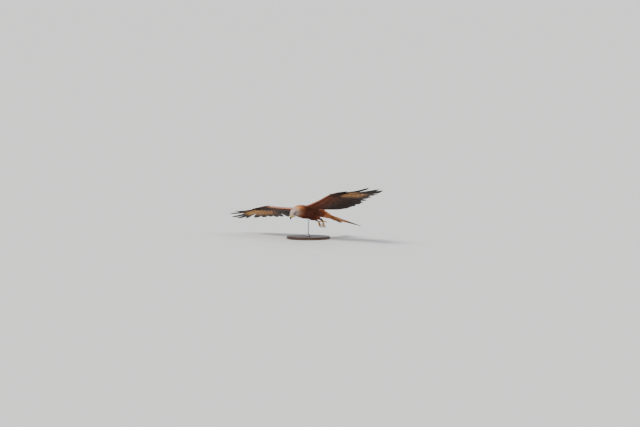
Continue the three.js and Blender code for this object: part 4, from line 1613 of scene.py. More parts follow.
    def alula(self) -> Vanes:
        """The three feathers of the thumb, on the wing's bend."""
        n = np.arange(3)
        lay = {
            "x": self.thumb_x + 9.0 * n, "y": np.full(3, along(LEADING_EDGE, self.wrist_x) + 13),
            "angle": 88 + 1.5 * n, "length": 74 + 13.0 * n, "group": np.full(3, Group.PRIMARY.value),
            "bow": np.full(3, -2.0), "arch": np.full(3, 3.0),
        }  # fmt: skip
        height = along(self.heights.front, self.wrist_x) + 8.5 - 1.1 * n
        root, lean, tip = self.curves(lay | {"tip": height + 4})
        t = np.linspace(0, 1, 18)
        root[:, 2] = height
        lean[:, 2] = height + 5
        spine = bezier((root, lean, tip), t)
        width = vane_width(t, 0.4, 0.8)[None] * np.ones((3, 1))
        brown = srgb(60, 44, 36)
        marks = marked(0.06, 0.0, self.dice.random(3))
        return Vanes(
            spine, *shaft_frames(spine, self.side), 5 * width, 11 * width, brown, brown, marks,
            lanes(0.9, 40, 3), (0.02, 0.5), thick=0.6, tilt=0.08,
        )  # fmt: skip

    def flesh(self, x: Array, y: Array, face: Facing) -> Array:
        """Finds the arm's surface.

        Args:
            x: Distances out from the shoulder.
            y: Distances back from it.
            face: The upper or the lower face.

        Returns:
            The height of the arm's face at each place, or far inside where there is no arm.
        """
        front, rear = arm_edges(x)
        back = (y - front) / (rear - front)
        inside = np.clip(back, 0, 1)
        rise = face.value * 2 * np.sqrt(inside * (1 - inside))
        return np.where(back < 1, self.heights.flesh(x, inside, rise), -1e3 * face.value)

    def tier(self, row: CovertRow, face: Facing) -> Vanes:
        """One row of coverts above or below the wing.

        Args:
            row: The row's place, sizes and colours.
            face: The wing's upper or lower face.

        Returns:
            The row's feathers.
        """
        x = np.arange(self.first_covert, self.last_covert, row.spacing) + row.shift * row.spacing
        x = x + self.dice.normal(0, 0.09 * row.spacing, len(x))
        root, lean, tip = self.curves(self.layout)
        here, bend, away = (
            np.stack([np.interp(x, self.layout["x"], column) for column in values.T], -1)
            for values in (root, lean - root, tip - root)
        )
        here[:, 0] = self.side * x
        jitter = self.dice.normal(0, 0.04 * row.length, len(x)) * (row.back < 1)
        start = mix(along(LEADING_EDGE, x) + 2, here[:, 1] - 2, row.back) + jitter
        hand = smooth(x, 300, 420)
        length = row.length * mix(1, row.hand, hand) * self.dice.normal(1, 0.05, len(x))
        length = length * mix(0.5, 1, smooth(x, 40, 95))
        course = unit(mix(unit(away[:, :2]), np.array([[self.side * 0.12, 1.0]]), row.backward))
        shares = tips_of(self.covert_steps, 1.6)
        run = length[:, None] * shares
        flat = np.stack([here[:, 0], start], -1)[:, None] + course[:, None] * run[..., None]
        ahead = flat - here[:, None, :2]
        gap = np.linalg.norm(ahead, axis=-1) * np.sign((ahead * course[:, None]).sum(-1))
        t = np.clip(gap / np.linalg.norm(away, axis=-1)[:, None], 0, 1)
        vane = here[:, None, 2] + 2 * t * (1 - t) * bend[:, None, 2] + t**2 * away[:, None, 2]
        flesh = self.flesh(np.abs(flat[..., 0]), flat[..., 1], face)
        base = face.value * np.maximum(face.value * flesh, face.value * vane + 0.8)
        for _ in range(2):
            base[:, 1:-1] = (base[:, :-2] + 2 * base[:, 1:-1] + base[:, 2:]) / 4
        height = base + face.value * (row.lift * (0.12 + 0.88 * shares) + 0.25 + row.stack)
        spine = np.concatenate([flat, height[..., None]], -1)
        across, over = shaft_frames(spine, self.side)
        scale = mix(1, 0.72, hand)[:, None] * vane_width(shares, 0.45, 0.6)[None]
        own = self.dice.random(len(x))
        tint = row.dye.colours(own, shares) * self.dusk(x)
        home = np.stack([x / 470, (start + 60) / 260], -1)
        return Vanes(
            spine, across, over * face.value, row.outer * scale, row.inner * scale, tint, row.dye.under,
            row.dye.marks(own), home, (row.patch, row.patch), COVERT_COLUMNS,
            thick=0.36, camber=0.1, tilt=0.05 * face.value,
        )  # fmt: skip


@dataclass
class Tail:
    """The twelve tail feathers."""

    dice: np.random.Generator
    pairs: int = 6
    steps: int = 36
    outer_length: float = 330.0
    fork: float = 82.0
    spread: float = 17.5

    ROOT = (0.0, 118.0, -6.0)

    def build(self) -> None:
        """Builds and finishes the tail feathers."""
        TAIL_PAINT.dress(self.feathers().mesh("tail_vanes"), "tail")

    @staticmethod
    def turned(vectors: Array) -> Array:
        """Turns the flat tail into the bird's frame.

        Args:
            vectors: Directions of the flat tail.

        Returns:
            The same directions, drooped and twisted.
        """
        c, s = math.cos(TAIL_DROOP), math.sin(TAIL_DROOP)
        pitch = np.array([[1, 0, 0], [0, c, -s], [0, s, c]])
        c, s = math.cos(TAIL_TWIST), math.sin(TAIL_TWIST)
        roll = np.array([[c, 0, s], [0, 1, 0], [-s, 0, c]])
        return vectors @ (pitch @ roll).T

    def feathers(self) -> Vanes:
        """The tail feathers, from the middle pair to the outer one."""
        n = np.repeat(np.arange(self.pairs), 2)
        side = np.tile([1.0, -1.0], self.pairs)
        count = len(n)
        q = n / (self.pairs - 1)
        angle = np.radians(mix(1.2, self.spread, q))
        length = self.outer_length - self.fork * (1 - q**1.6)
        lift = np.where(n == 0, 3.4 - 0.9 * side, 0)
        root = np.stack([side * (4 + 16 * q), mix(8, 0, q), 0.4 + lift], -1)
        tip = root + np.stack([side * np.sin(angle), np.cos(angle), 0 * q], -1) * length[:, None]
        tip[:, 2] = lift + mix(0, 2, q)
        away = unit(np.cross(tip - root, UP)) * side[:, None]
        lean = (root + tip) / 2 - away * 2 * mix(0, 5, q)[:, None] + UP * 3
        t = tips_of(self.steps, 1.25)
        spine = bezier((root, lean, tip), t)
        frames = [self.turned(vectors) for vectors in shaft_frames(spine, side[:, None, None])]
        half = mix(17, 12, q)
        wear = 1 - 0.08 * (self.dice.random((count, self.steps)) < 0.12) * smooth(t, 0.3, 0.5)
        width = vane_width(t, 0.35, 0.88)[None] * wear
        webs = [np.where(n == 0, *sizes)[:, None] * width for sizes in ((15, half - 3), (5, half + 7))]
        marks = marked(0.09, 0.3, self.dice.random(count))
        return Vanes(
            self.turned(spine) + self.ROOT, *frames, *webs, *self._colours(q, t), marks,
            lanes(0.003, 13, count), (0.074, 0.97), TAIL_COLUMNS,
            thick=0.55, camber=0.05, tilt=0.06, ridge=0.5,
        )  # fmt: skip

    @staticmethod
    def _colours(q: Array, t: Array) -> tuple[Array, Array]:
        """Colours the tail feathers.

        Args:
            q: How far out each feather is, from 0 to 1.
            t: The share along the feather of each step.

        Returns:
            Their colours above and below, for each feather, step and column.
        """
        q = q[:, None, None, None]
        t = t[None, :, None, None]
        u = np.array(TAIL_COLUMNS)[None, None, :, None]
        corner = smooth(q, 0.4, 0.8) * smooth(t, 0.6, 0.82)
        top = mix(srgb(178, 104, 64), srgb(144, 84, 54), (1 - q) * 0.5 + corner * 0.3)
        under = mix(srgb(220, 150, 84), srgb(206, 124, 60), smooth(t, 0.4, 0.9))
        under = mix(under, srgb(226, 180, 124), smooth(np.abs(u), 0.8, 1.0) * 0.3)
        return mix(top, srgb(60, 43, 36), corner), mix(under, srgb(54, 40, 34), corner)


# The coat of the trunk, head, tail root and thighs


@dataclass(frozen=True)
class Tract:
    """A region of small feathers, by how far apart they grow and how large they are along it."""

    spacing: Pairs
    length: Pairs
    half: Pairs
    lift: Pairs
    round_from: Pairs = ((0, 0.5), (1, 0.5))
    steps: int = 8


TRUNK_TRACT = Tract(
    ((0, 5.5), (0.3, 5.4), (0.48, 4.8), (0.58, 3.5), (0.7, 2.6), (0.82, 2.0), (0.92, 1.6), (1, 1.35)),
    ((0, 34), (0.3, 32), (0.48, 29), (0.58, 24), (0.7, 17), (0.82, 10), (0.92, 6.5), (1, 4.2)),
    ((0, 7.8), (0.3, 7.6), (0.48, 6.4), (0.58, 4.0), (0.7, 2.6), (0.82, 1.8), (0.92, 1.35), (1, 0.95)),
    ((0, 1.2), (0.45, 1.2), (0.6, 1.4), (0.75, 1.2), (0.9, 0.7), (1, 0.4)),
    ((0, 0.45), (0.45, 0.45), (0.6, 0.25), (0.75, 0.3), (1, 0.5)),
)
THIGH_TRACT = Tract(
    ((0, 5.0), (1, 2.8)),
    ((0, 26), (0.6, 27), (1, 31)),
    ((0, 5.4), (1, 3.2)),
    ((0, 1.3), (1, 1.5)),
    ((0, 0.4), (1, 0.2)),
)
RUMP_TRACT = Tract(
    ((0, 6.4), (1, 5.4)),
    ((0, 44), (0.5, 54), (1, 42)),
    ((0, 8.8), (0.5, 9.4), (1, 6.4)),
    ((0, 1.4), (1, 1.2)),
    steps=9,
)


@dataclass(frozen=True)
class BodyPart:
    """A part of the body: the tube that it fills, and the way and the shares of it in which feathers grow."""

    curve: Curve
    shape: TubeShape
    tract: Tract
    upward: Array
    tailward: float
    start: float = 0.0
    end: float = 2.0
    loose: float = 0.25
    splay: float = 0.0


TRUNK_PART = BodyPart(SPINE, TRUNK, TRUNK_TRACT, UP, -1.0, splay=0.35)
RUMP_PART = BodyPart(TAIL_ROOT_CURVE, TAIL_ROOT, RUMP_TRACT, TAIL_OVER, 1.0, 0.04, 0.8, 0.8)
THIGH_PARTS = tuple(BodyPart(limb.thigh(), THIGH, THIGH_TRACT, UP, 1.0, 0.12, 0.975, 1.1) for limb in LIMBS)


@dataclass
class Coat:
    """The small feathers of the bird, scattered over its skin."""

    skin: Skin
    dice: np.random.Generator
    throws: int = 5
    arm_from: float = 56.0
    arm_margin: float = 8.0
    shoulder_end: float = 0.55
    neck_from: float = 0.53
    head_from: float = 0.655
    face_from: float = 0.93
    straightest: float = 0.62
    eye_gap: float = 6.6
    body_dye: Dye = Dye(srgb(96, 46, 28), srgb(128, 72, 46), srgb(84, 50, 36), 0.08)
    neck_dye: Dye = Dye(srgb(172, 112, 70), srgb(210, 156, 110), srgb(110, 70, 48), 0.1)
    head_dye: Dye = Dye(srgb(196, 178, 170), srgb(226, 214, 208), srgb(140, 120, 110), 0.07)
    thigh_dye: Dye = Dye(srgb(140, 72, 42), srgb(150, 88, 56), srgb(84, 50, 36), 0.07)
    rump_dye: Dye = Dye(srgb(170, 92, 52), srgb(200, 130, 84), srgb(128, 80, 54), 0.12)
    roots: Array = field(init=False)
    heights: Array = field(init=False)
    shares: Array = field(init=False)
    owner: Array = field(init=False)

    PARTS = (TRUNK_PART, RUMP_PART, *THIGH_PARTS)
    # The cere: how far back it reaches, its height over the bill's root, and its half width and height
    CERE = (-3.5, 1.6, 9.0, 7.4)

    def __post_init__(self) -> None:
        """Scatters the feathers' roots over the skin, and finds the body part that each grows on."""
        mesh = self.skin.piece.data
        mesh.calc_loop_triangles()
        index = np.empty(len(mesh.loop_triangles) * 3, np.int32)
        mesh.loop_triangles.foreach_get("vertices", index)
        faces = BANK.unplace(corners(self.skin.piece))[index.reshape(-1, 3)]
        near = np.abs(faces[:, 0, 0]) < self.arm_from + self.arm_margin
        faces = np.repeat(faces[near], self.throws, axis=0)
        cuts = np.sort(self.dice.random((len(faces), 2)), axis=1)
        weights = np.stack([cuts[:, 0], cuts[:, 1] - cuts[:, 0], 1 - cuts[:, 1]], -1)
        places = np.einsum("nk,nki->ni", weights, faces)
        heights = unit(np.cross(faces[:, 1] - faces[:, 0], faces[:, 2] - faces[:, 0]))[:, 2]
        ratios, shares = [], []
        for part in self.PARTS:
            share, gap = part.curve.nearest(places)
            ratios.append(np.where(share < part.start, np.inf, gap / part.shape.reach(share)))
            shares.append(share)
        owner = np.argmin(ratios, axis=0)
        share = np.array(shares)[owner, np.arange(len(places))]
        ends = np.array([part.end for part in self.PARTS])[owner]
        kept = self.feathered(places, share, owner == 0) & (share < ends)
        places, heights, owner, share = places[kept], heights[kept], owner[kept], share[kept]
        spacing = np.zeros(len(places))
        for i, part in enumerate(self.PARTS):
            spacing = np.where(owner == i, along(part.tract.spacing, share), spacing)
        chosen = self.scattered(places, spacing)
        self.roots, self.heights = places[chosen], heights[chosen]
        self.owner, self.shares = owner[chosen], share[chosen]

    def feathered(self, places: Array, shares: Array, trunk: Array) -> Array:
        """Leaves out the wings, the eyes and the cere.

        Args:
            places: Places on the skin.
            shares: The share along its body part of each.
            trunk: Whether each is on the trunk.

        Returns:
            Whether small feathers grow at each place.
        """
        seen = head_place(places)
        back, height, wide, tall = self.CERE
        wing = (np.abs(places[:, 0]) > self.arm_from) & (shares < self.shoulder_end) & trunk
        eye = np.linalg.norm(seen - EYE_PLACE, axis=1) < self.eye_gap
        cere = (seen[:, 1] > back) & (np.hypot(seen[:, 0] / wide, (seen[:, 2] - height) / tall) < 1)
        return ~(wing | eye | cere)

    def scattered(self, places: Array, spacing: Array) -> list[int]:
        """Thins places out.

        Args:
            places: The places.
            spacing: How far from each one no other may stay.

        Returns:
            The numbers of the places that stay.
        """
        tree = KDTree(len(places))
        for i, place in enumerate(places):
            tree.insert(place, i)
        tree.balance()
        free = np.ones(len(places), bool)
        chosen = []
        for i in self.dice.permutation(len(places)):
            if free[i]:
                chosen.append(i)
                for _, other, _ in tree.find_range(places[i], spacing[i]):
                    free[other] = False
        return chosen

    def build(self) -> None:
        """Builds and finishes the small feathers of the body."""
        cuts = (
            ("body", BODY_PAINT, self.body_dye, 0.0, self.neck_from),
            ("neck", NECK_PAINT, self.neck_dye, self.neck_from, self.head_from),
            ("head", HEAD_PAINT, self.head_dye, self.head_from, 1.1),
        )
        base = Markings.body(self.shares, self.heights) * Markings.smudge(self.roots)
        for name, paint, dye, start, end in cuts:
            chosen = (self.owner == 0) & (self.shares >= start) & (self.shares < end)
            paint.dress(self.grow(f"coat_{name}", TRUNK_PART, chosen, dye, base))
        rump = self.grow("coat_rump", RUMP_PART, self.owner == 1, self.rump_dye, self.rump_colour())
        TAIL_PAINT.dress(rump)
        trousers = np.tile(Markings.THIGH_COLOUR, (len(self.roots), 1))
        for i, (limb, part) in enumerate(zip(LIMBS, THIGH_PARTS), 2):
            name = f"coat_thigh_{limb.side.label}"
            BODY_PAINT.dress(self.grow(name, part, self.owner == i, self.thigh_dye, trousers))

    def rump_colour(self) -> Array:
        """Rufous above, paler below and towards the tail."""
        above = Markings.ramp(((0, srgb(166, 98, 60)), (1, srgb(182, 106, 62))), self.shares)
        below = Markings.ramp(((0, srgb(164, 98, 60)), (1, srgb(206, 146, 96))), self.shares)
        return mix(below, above, smooth(self.heights, -0.3, 0.3)[:, None])

    def grow(self, name: str, part: BodyPart, chosen: Array, dye: Dye, base: Array) -> Object:
        """Grows one region of the coat.

        Args:
            name: The name of the piece.
            part: The body part.
            chosen: Which of the roots grow in it.
            dye: The edges, hidden sides, streaks and bars of the feathers.
            base: A colour for every root.

        Returns:
            The region's feathers.
        """
        tract = part.tract
        roots, shares = self.roots[chosen], self.shares[chosen]
        away = unit(roots - part.curve.at(shares))
        across, over = part.curve.frame(shares, part.upward)
        turn = np.arctan2(np.sum(away * over, axis=1), np.sum(away * across, axis=1)) / (2 * math.pi) % 1
        tangent = part.curve.tangent(shares) * part.tailward
        headings = unit(tangent + away * part.splay + self.dice.normal(0, 0.08, roots.shape))
        length = along(tract.length, shares) * self.dice.normal(1, 0.1, len(shares))
        run = tips_of(tract.steps, 1.6)
        points, normals, loose = self.skin.march(roots, headings, length, run)
        straight = np.sum(unit(points[:, -1] - points[:, 0]) * tangent, axis=-1) > self.straightest
        kept = (straight | (shares > self.face_from)) & (loose <= part.loose)
        shares = shares[kept]
        rise = along(tract.lift, shares) * self.dice.normal(1, 0.15, len(shares))
        lying = resting(points[kept], normals[kept], rise[:, None] * (0.05 + 0.95 * run) + 0.15)
        width = vane_width(run[None], 0.5, along(tract.round_from, shares)[:, None])
        half = (along(tract.half, shares) * self.dice.normal(1, 0.06, len(shares)))[:, None] * width
        own = self.dice.random(len(shares))
        tint = dye.colours(own, run, base[chosen][kept])
        thick = float(along(tract.half, shares.mean())) * 0.03 + 0.12
        homes = np.stack([turn[kept], shares], -1) * 0.99
        vanes = Vanes(*lying, half, half, tint, dye.under, dye.marks(own), homes, thick=thick, camber=0.22)
        return vanes.mesh(name)


# The bare parts of the head and feet


@dataclass
class Face:
    """The eyes, lids, cere and bill."""

    eye_radius: float = 6.4
    lid_width: float = 5.5
    lid_height: float = 4.7
    cere_share: float = 0.4
    bill_share: float = 0.3
    nostril_depth: float = 2.6
    upper: Curve = field(init=False)
    lower: Curve = field(init=False)

    BILL = ((-4, 1.6), (6, 2.6), (15, 1.6), (22, -2.4), (25, -8.6), (24, -13.5))
    LOWER = ((-4, -4.6), (5, -4.4), (13, -4.3), (19.5, -5.9))
    UPPER_SHAPE = TubeShape(
        ((0, 9.4), (0.3, 7.6), (0.6, 5.2), (0.82, 2.6), (0.93, 1.15), (1, 0.06)),
        ((0, 7.6), (0.3, 6.6), (0.6, 5), (0.82, 2.8), (0.93, 1.2), (1, 0.06)),
        ((0, 4.6), (0.3, 4.2), (0.6, 4), (0.82, 2.3), (0.93, 1.0), (1, 0.06)),
    )
    LOWER_SHAPE = TubeShape(
        ((0, 8.2), (0.5, 6), (0.85, 3.4), (1, 1.4)),
        ((0, 1.6), (0.5, 1.7), (1, 1.2)),
        ((0, 3), (0.5, 3.2), (1, 0.9)),
    )
    OVER = unit(HEAD_UP + 0.8 * FORWARD)
    # How far forward and up the eyes look
    GAZE = (0.32, 0.05)
    # A nostril's place and size, and the same for the painted shade that darkens its opening
    NOSTRIL = ((7.4, 6.2, 4.2), (3.0, 1.9, 1.15))
    PIT = ((6.2, 6.2, 4.2), (2.4, 1.8, 1.05))

    def __post_init__(self) -> None:
        """Works out the middles of the upper and lower bill."""
        self.upper = Curve([head_point(0, *place) for place in self.BILL])
        self.lower = Curve([head_point(0, *place) for place in self.LOWER])

    def build(self) -> None:
        """Builds the bare parts of the head."""
        for side in Side:
            centre = head_point(side.value * EYE_PLACE[0], *EYE_PLACE[1:])
            gaze = unit(side.value * HEAD_LEFT + self.GAZE[0] * FORWARD + self.GAZE[1] * HEAD_UP)
            self.eye(centre, gaze, side.label)
            self.lids(centre, gaze, side.label)
        CERE_SKIN.dress(self.cere(), "cere")
        BILL_HORN.dress(self.upper_bill(), "bill_upper")
        lower = self.LOWER_SHAPE.build("bill_lower_horn", (40, 40), self.lower, self.OVER)
        LOWER_HORN.dress(smooth_shaded(lower), "bill_lower")

    def cere(self) -> Object:
        """Builds the swollen yellow skin over the bill's root.

        Returns:
            The cere, with its two nostrils.
        """

        def place(t: Array, angle: Array, radius: Array) -> Array:
            """The cere's own roundness, and the dips of the nostrils."""
            share = mix(0.0, self.cere_share, t)
            swell = 0.35 * np.sin(np.pi * np.clip(t, 0, 1)) - 2.2 * smooth(t, 0.9, 1.0)
            at = self.UPPER_SHAPE.ring(self.upper, share, angle, radius, self.OVER)
            middle = self.upper.at(share)
            at = at + unit(at - middle) * (swell * np.clip(radius, 0, 1))[:, None]
            (x, y, z), size = self.NOSTRIL
            for side in (1, -1):
                gap = (at - head_point(side * x, y, z)) @ HEAD_AXES.T / size
                dip = np.exp(-((gap**2).sum(1) ** 2))
                at = at - np.outer(dip * side * self.nostril_depth, HEAD_LEFT)
            return BANK.place(at)

        piece = tube("cere_skin", 96, 60, place)
        # Painted shade in each nostril's opening.
        gap = (head_place(BANK.unplace(corners(piece))) - self.PIT[0]) / self.PIT[1]
        number(piece.data, "pit", np.exp(-((gap**2).sum(1) ** 2)))
        return smooth_shaded(piece)

    def upper_bill(self) -> Object:
        """Builds the hooked upper bill.

        Returns:
            The bill, with a ridge along its top and a sharp cutting edge.
        """

        def place(t: Array, angle: Array, radius: Array) -> Array:
            """The bill, pinched a little above so that it has a ridge."""
            share = mix(self.bill_share, 1.0, t)
            squeeze = 1 - 0.1 * np.clip(np.sin(angle), 0, 1) ** 2 * np.abs(np.cos(angle)) * 2
            ring = self.UPPER_SHAPE.ring(self.upper, share, angle, radius * squeeze, self.OVER)
            under_cere = 0.985 - 0.25 * smooth(-t, -0.04, 0)
            return BANK.place(mix(self.upper.at(share), ring, under_cere[:, None]))

        return smooth_shaded(tube("bill_upper_horn", 48, 70, place))

    def eye(self, centre: Array, gaze: Array, name: str) -> None:
        """Builds a glassy eye.

        Args:
            centre: Its centre, in the bird's frame.
            gaze: The direction in which it looks.
            name: The name of its side.
        """
        piece = ball(f"eye_glass_{name}", centre, (self.eye_radius,) * 3, np.eye(3), 64)
        away = unit(BANK.unplace(corners(piece)) - centre)
        number(piece.data, "share", np.arccos(np.clip(away @ gaze, -1, 1)) / (math.pi / 2))
        reshape(piece, BANK.place(centre + away * (self.eye_radius - 0.02)))
        EYE_GLASS.dress(smooth_shaded(piece), f"eye_{name}")

    def lids(self, centre: Array, gaze: Array, name: str) -> None:
        """Builds the bare rim round an eye: an upper and a lower lid that meet in two corners.

        Args:
            centre: The eye's centre, in the bird's frame.
            gaze: The direction in which it looks.
            name: The name of its side.
        """
        along_eye = unit(FORWARD - gaze * (FORWARD @ gaze))
        above = np.cross(gaze, along_eye)
        above = above * np.sign(above @ HEAD_UP)
        thin = 0.25
        put_down()
        bpy.ops.mesh.primitive_torus_add(major_segments=72, minor_segments=16, minor_radius=thin)
        piece = started(f"lids_{name}")
        x, y, z = corners(piece).T
        angle = np.arctan2(y, x)
        out = (np.hypot(x, y) - 1) / thin
        rise = z / thin
        upper = np.clip(np.sin(angle), 0, 1)
        tall = self.lid_height - 0.55 * upper
        opening = np.stack([self.lid_width * np.cos(angle), tall * np.sin(angle)], -1)
        heavy = 1.05 + 0.3 * upper
        ring = opening * (1 + ((out + 1) * heavy - 0.6) / 5.4)[:, None]
        distance = np.hypot(*ring.T)
        depth = np.sqrt(np.clip(self.eye_radius**2 - distance**2, 2.0, None)) + rise * 0.62 + 0.12
        at = centre + ring[:, :1] * along_eye + ring[:, 1:] * above + depth[:, None] * gaze
        reshape(piece, BANK.place(at))
        LID_SKIN.dress(smooth_shaded(outward(piece)))


@dataclass
class Foot:
    """One leg's bare shank, four toes and claws."""

    limb: Limb
    claw_length: float = 15.0
    shank_scutes: int = 13
    scute_length: float = 2.6
    toe_pads: int = 3
    toe_joints: float = 2.5
    voxel: float = 0.0006
    ankle: Array = field(init=False)
    heel: Array = field(init=False)
    down: Array = field(init=False)
    ahead: Array = field(init=False)
    sideways: Array = field(init=False)

    # The toes' directions in degrees, their lengths and how far they hang
    TOES = (("inner", -30, 34, 0.8), ("middle", -2, 43, 0.7), ("outer", 28, 35, 0.85), ("hind", 176, 23, 0.9))
    ACROSS = np.array([0.1, 0.9, 0.5])
    SHANK_SHAPE = TubeShape(*[((0, 5.0), (0.35, 3.7), (0.75, 3.5), (1, 4.9))] * 3)
    TOE_SHAPE = TubeShape(*[((0, 3.9), (0.5, 3.2), (0.9, 2.8), (1, 1.6))] * 3)
    CLAW_SHAPE = TubeShape(
        ((0, 2.0), (0.5, 1.35), (1, 0.16)),
        ((0, 2.3), (0.5, 1.6), (1, 0.18)),
        ((0, 2.1), (0.5, 1.4), (1, 0.16)),
    )

    def __post_init__(self) -> None:
        """Works out the leg's directions."""
        self.ankle = self.limb.point("ankle")
        self.heel = self.limb.point("heel")
        self.down = unit(self.ankle - self.heel)
        self.ahead = unit(np.array([0.0, -1.0, 0.0]) + self.down * self.down[1])
        self.sideways = unit(np.cross(self.down, self.ahead))

    def paths(self, swing: float, length: float, drop: float) -> tuple[Curve, Arrays, Array]:
        """A toe's middle, its claw's middle and the direction that it points in.

        Args:
            swing: The direction of the toe, in degrees from straight ahead.
            length: Its length.
            drop: How far it hangs.

        Returns:
            The toe's curve, the three points of the claw's curve, and the toe's direction.
        """
        a = math.radians(swing + self.limb.spread) * self.limb.side.value
        out = self.ahead * math.cos(a) + self.sideways * math.sin(a)

        def place(reach: float, depth: float) -> Array:
            """A point of the toe."""
            return self.ankle + out * reach + self.down * depth

        fall = length * 0.92 * drop
        end = place(length * 0.62, fall)
        lean = place(length * 0.6, fall + self.claw_length * 0.55)
        past = end + unit(lean - end) * 1.5
        knuckles = (place(length * 0.3, length * 0.22), place(length * 0.55, length * 0.52 * drop + 2))
        bone = Curve([place(0, -3), *knuckles, past])
        return bone, (end, lean, place(length * 0.42, fall + self.claw_length)), out

    def build(self) -> None:
        """Builds the foot and its claws."""
        label = self.limb.side.label
        parts = [self.shank()]
        for name, swing, length, drop in self.TOES:
            bone, claw, out = self.paths(swing, length, drop)
            parts.append(self.toe(name, bone, out, length))
            self.claw(f"{name}_{label}", claw)
        foot = melted(joined(f"foot_skin_{label}", parts), self.voxel, 0.4, 2)
        FOOT_SKIN.dress(foot, f"foot_{label}")

    def shank(self) -> Object:
        """Builds the bare shank.

        Returns:
            The shank, with a row of broad scutes down its front.
        """
        span = self.ankle - self.heel
        curve = Curve([self.heel + span * share for share in (-0.12, 0.25, 0.6, 1.06)])

        def swell(t: Array, angle: Array) -> Array:
            """The scutes' steps."""
            front = np.clip(np.sin(angle), 0, 1) ** 0.5
            step = 0.3 * front * np.abs(np.sin(t * self.shank_scutes * np.pi)) ** 0.6
            return 1 + step / 3.6

        return self.SHANK_SHAPE.build("shank", (32, 96), curve, self.ahead, swell)

    def toe(self, name: str, bone: Curve, out: Array, length: float) -> Object:
        """Builds a toe, with scutes over its top and swollen pads beneath.

        Args:
            name: The toe's name.
            bone: Its middle.
            out: The direction in which it points.
            length: How long it is.

        Returns:
            The toe.
        """
        scutes = round(length / self.scute_length)

        def swell(t: Array, angle: Array) -> Array:
            """The scutes, pads and knuckles."""
            rise = np.sin(angle)
            scute = 0.5 * np.clip(rise, 0, 1) ** 0.5 * np.abs(np.sin(t * scutes * np.pi)) ** 0.6
            pad = 0.85 * np.clip(-rise, 0, 1) * (0.5 + 0.5 * np.cos(t * (self.toe_pads * 2) * np.pi))
            knuckle = 0.3 * np.cos(t * (self.toe_joints * 2) * np.pi)
            return 1 + (scute + pad + knuckle) / 3.2

        return self.TOE_SHAPE.build(f"toe_{name}", (28, 84), bone, out, swell)

    def claw(self, name: str, path: Arrays) -> None:
        """Builds one curved claw, sharp and grooved beneath.

        Args:
            name: The names of the toe and the side.
            path: The points that the claw's middle leaves, leans to and ends at.
        """
        curve = Curve(bezier(tuple(p[None] for p in path), np.array((0, 0.35, 0.7, 1)))[0])

        def groove(_: Array, angle: Array) -> Array:
            """A shallow groove beneath."""
            return 1 - 0.14 * np.exp(-(((np.abs(angle + np.pi / 2)) / 0.5) ** 2))

        horn = self.CLAW_SHAPE.build(f"claw_horn_{name}", (24, 28), curve, self.ACROSS, groove)
        CLAW_HORN.dress(smooth_shaded(horn), f"claw_{name}")


# The stand and the studio


@dataclass(frozen=True)
class Turning:
    """A piece of the stand that is turned on a lathe, by its radii and heights in millimetres."""

    name: str
    node: str
    outline: Pairs
    finish: Finish

    def build(self) -> None:
        """Builds the piece."""
        points = np.array(self.outline, float)
        run = np.concatenate([[0], np.cumsum(np.linalg.norm(np.diff(points, axis=0), axis=1))])

        def place(t: Array, angle: Array, radius: Array) -> Array:
            """The outline, turned."""
            reach, height = (np.interp(t * run[-1], run, column) for column in points.T)
            reach = reach * radius
            return np.stack([reach * np.cos(angle), reach * np.sin(angle), height], -1) * MM

        self.finish.dress(smooth_shaded(tube(self.name, 128, 140, place), 32.0), self.node)


def arc(centre: tuple[float, float], radius: float, start: float, end: float) -> list[tuple[float, float]]:
    """Rounds a moulding.

    Args:
        centre: The radius and height of its middle.
        radius: Its own radius.
        start: The angle where it starts, in degrees.
        end: The angle where it ends.

    Returns:
        Points along it.
    """
    angles = np.radians(np.linspace(start, end, 9))
    return [(centre[0] + radius * math.cos(a), centre[1] + radius * math.sin(a)) for a in angles]


BASE_OUTLINE = (
    (30.0, 0.0), (147.0, 0.0), *arc((147.6, 2.4), 2.4, -90, 0), (150.0, 9.0), *arc((147.5, 9.0), 2.5, 0, 90),
    (145.0, 11.8), *arc((145.0, 14.9), 3.1, -90, 90)[::2], (60.0, 18.0), (20.0, 18.0),
)  # fmt: skip
COLLAR_OUTLINE = (
    (6.0, 18.3), (13.4, 18.3), (14.0, 18.9), (14.0, 22.5), (12.4, 24.0), (12.4, 26.0), (11.0, 30.0),
    (9.0, 32.3), (5.4, 32.3),
)  # fmt: skip
STAND = (
    Turning("stand_base_wood", "stand_base", BASE_OUTLINE, STAND_WOOD),
    Turning("stand_collar_steel", "stand_collar", COLLAR_OUTLINE, STAND_STEEL),
)


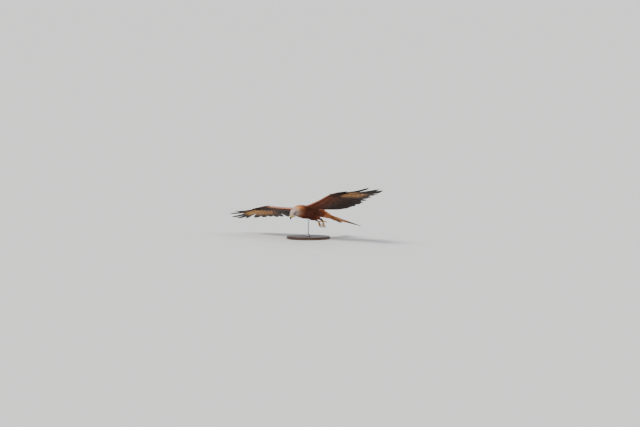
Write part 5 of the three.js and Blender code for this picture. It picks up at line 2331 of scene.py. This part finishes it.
@dataclass
class Studio:
    """The floor, the lights and the camera."""

    floor_size: float = 900.0
    softness: float = 28.0
    right: Array = field(init=False)
    back: Array = field(init=False)
    up: Array = field(init=False)

    def __post_init__(self) -> None:
        """Works out the camera's three directions."""
        a, e = math.radians(CAMERA_AZIMUTH), math.radians(CAMERA_ELEVATION)
        self.right = np.array([math.cos(a), math.sin(a), 0.0])
        self.back = np.array([math.sin(a) * math.cos(e), -math.cos(a) * math.cos(e), math.sin(e)])
        self.up = np.cross(self.back, self.right)

    def build(self) -> None:
        """Builds the studio."""
        self.floor()
        self.world()
        self.camera()
        self.light("key", (-1.2, -3.0, 5.2), 3.0, (1.0, 0.96, 0.9))
        self.light("fill", (4.2, -2.6, 1.6), 0.45, (1.0, 0.98, 0.96))
        self.light("rim", (0.6, 4.2, 3.4), 0.8, (1.0, 1.0, 1.0))

    def floor(self) -> None:
        """A wide pale floor."""
        put_down()
        bpy.ops.mesh.primitive_grid_add(x_subdivisions=40, y_subdivisions=40, size=self.floor_size)
        floor = started("studio_floor")
        floor.data.materials.append(FLOOR_PAINT.material())
        floor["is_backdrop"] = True

    @staticmethod
    def world() -> None:
        """An even, pale surrounding light."""
        world = bpy.data.worlds.new("studio")
        world.use_nodes = True
        background = world.node_tree.nodes["Background"]
        background.inputs["Color"].default_value = (0.80, 0.85, 0.92, 1)
        background.inputs["Strength"].default_value = 0.7
        bpy.context.scene.world = world

    def light(self, name: str, place: Triple, power: float, colour: Triple) -> None:
        """A far, soft lamp that shines on the bird from one side.

        Args:
            name: The lamp's name.
            place: The side that it shines from.
            power: Its strength.
            colour: Its colour.
        """
        data = bpy.data.lights.new(name, "SUN")
        data.angle = math.radians(self.softness)
        data.energy = power
        data.color = colour
        lamp = bpy.data.objects.new(name, data)
        lamp.location = place
        lamp.rotation_euler = Vector(place).to_track_quat("Z", "Y").to_euler()
        bpy.context.scene.collection.objects.link(lamp)

    def camera(self) -> None:
        """The photograph's camera, with the bird where the photograph has it."""
        scale = IMAGE_SIZE[0] * CAMERA_LENS / (SENSOR_WIDTH * CAMERA_DISTANCE)
        right = (IMAGE_SIZE[0] / 2 - BIRD_PIXEL[0]) / scale
        down = (IMAGE_SIZE[1] / 2 - BIRD_PIXEL[1]) / scale
        aim = BANK.origin * MM + self.right * right - self.up * down
        place = aim + self.back * CAMERA_DISTANCE
        data = bpy.data.cameras.new("camera")
        data.lens = CAMERA_LENS
        data.sensor_width = SENSOR_WIDTH
        data.clip_end = 2000
        camera = bpy.data.objects.new("camera", data)
        camera.location = place
        camera.rotation_euler = Vector(self.back).to_track_quat("Z", "Y").to_euler()
        bpy.context.scene.collection.objects.link(camera)
        bpy.context.scene.camera = camera


def keep_sizes() -> None:
    boxes = {"cad": CAD_BOX, "visual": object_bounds()}
    plain = {key: [[float(value) for value in corner] for corner in box] for key, box in boxes.items()}


def main() -> None:
    """Builds the whole scene."""
    logging.basicConfig(level=logging.INFO, format="%(name)s: %(message)s")
    dice = np.random.default_rng(29)
    Studio().build()
    skin = Skin()
    for side in Side:
        Wing(side, skin, dice).build()
    Tail(dice).build()
    Coat(skin, dice).build()
    Face().build()
    for limb in LIMBS:
        Foot(limb).build()
    for turning in STAND:
        turning.build()
    rod = bpy.data.objects["stand_rod"]
    rod.data.materials.clear()
    rod.data.materials.append(bpy.data.materials[STAND_STEEL.name])
    keep_sizes()


if __name__ == "__main__":
    main()
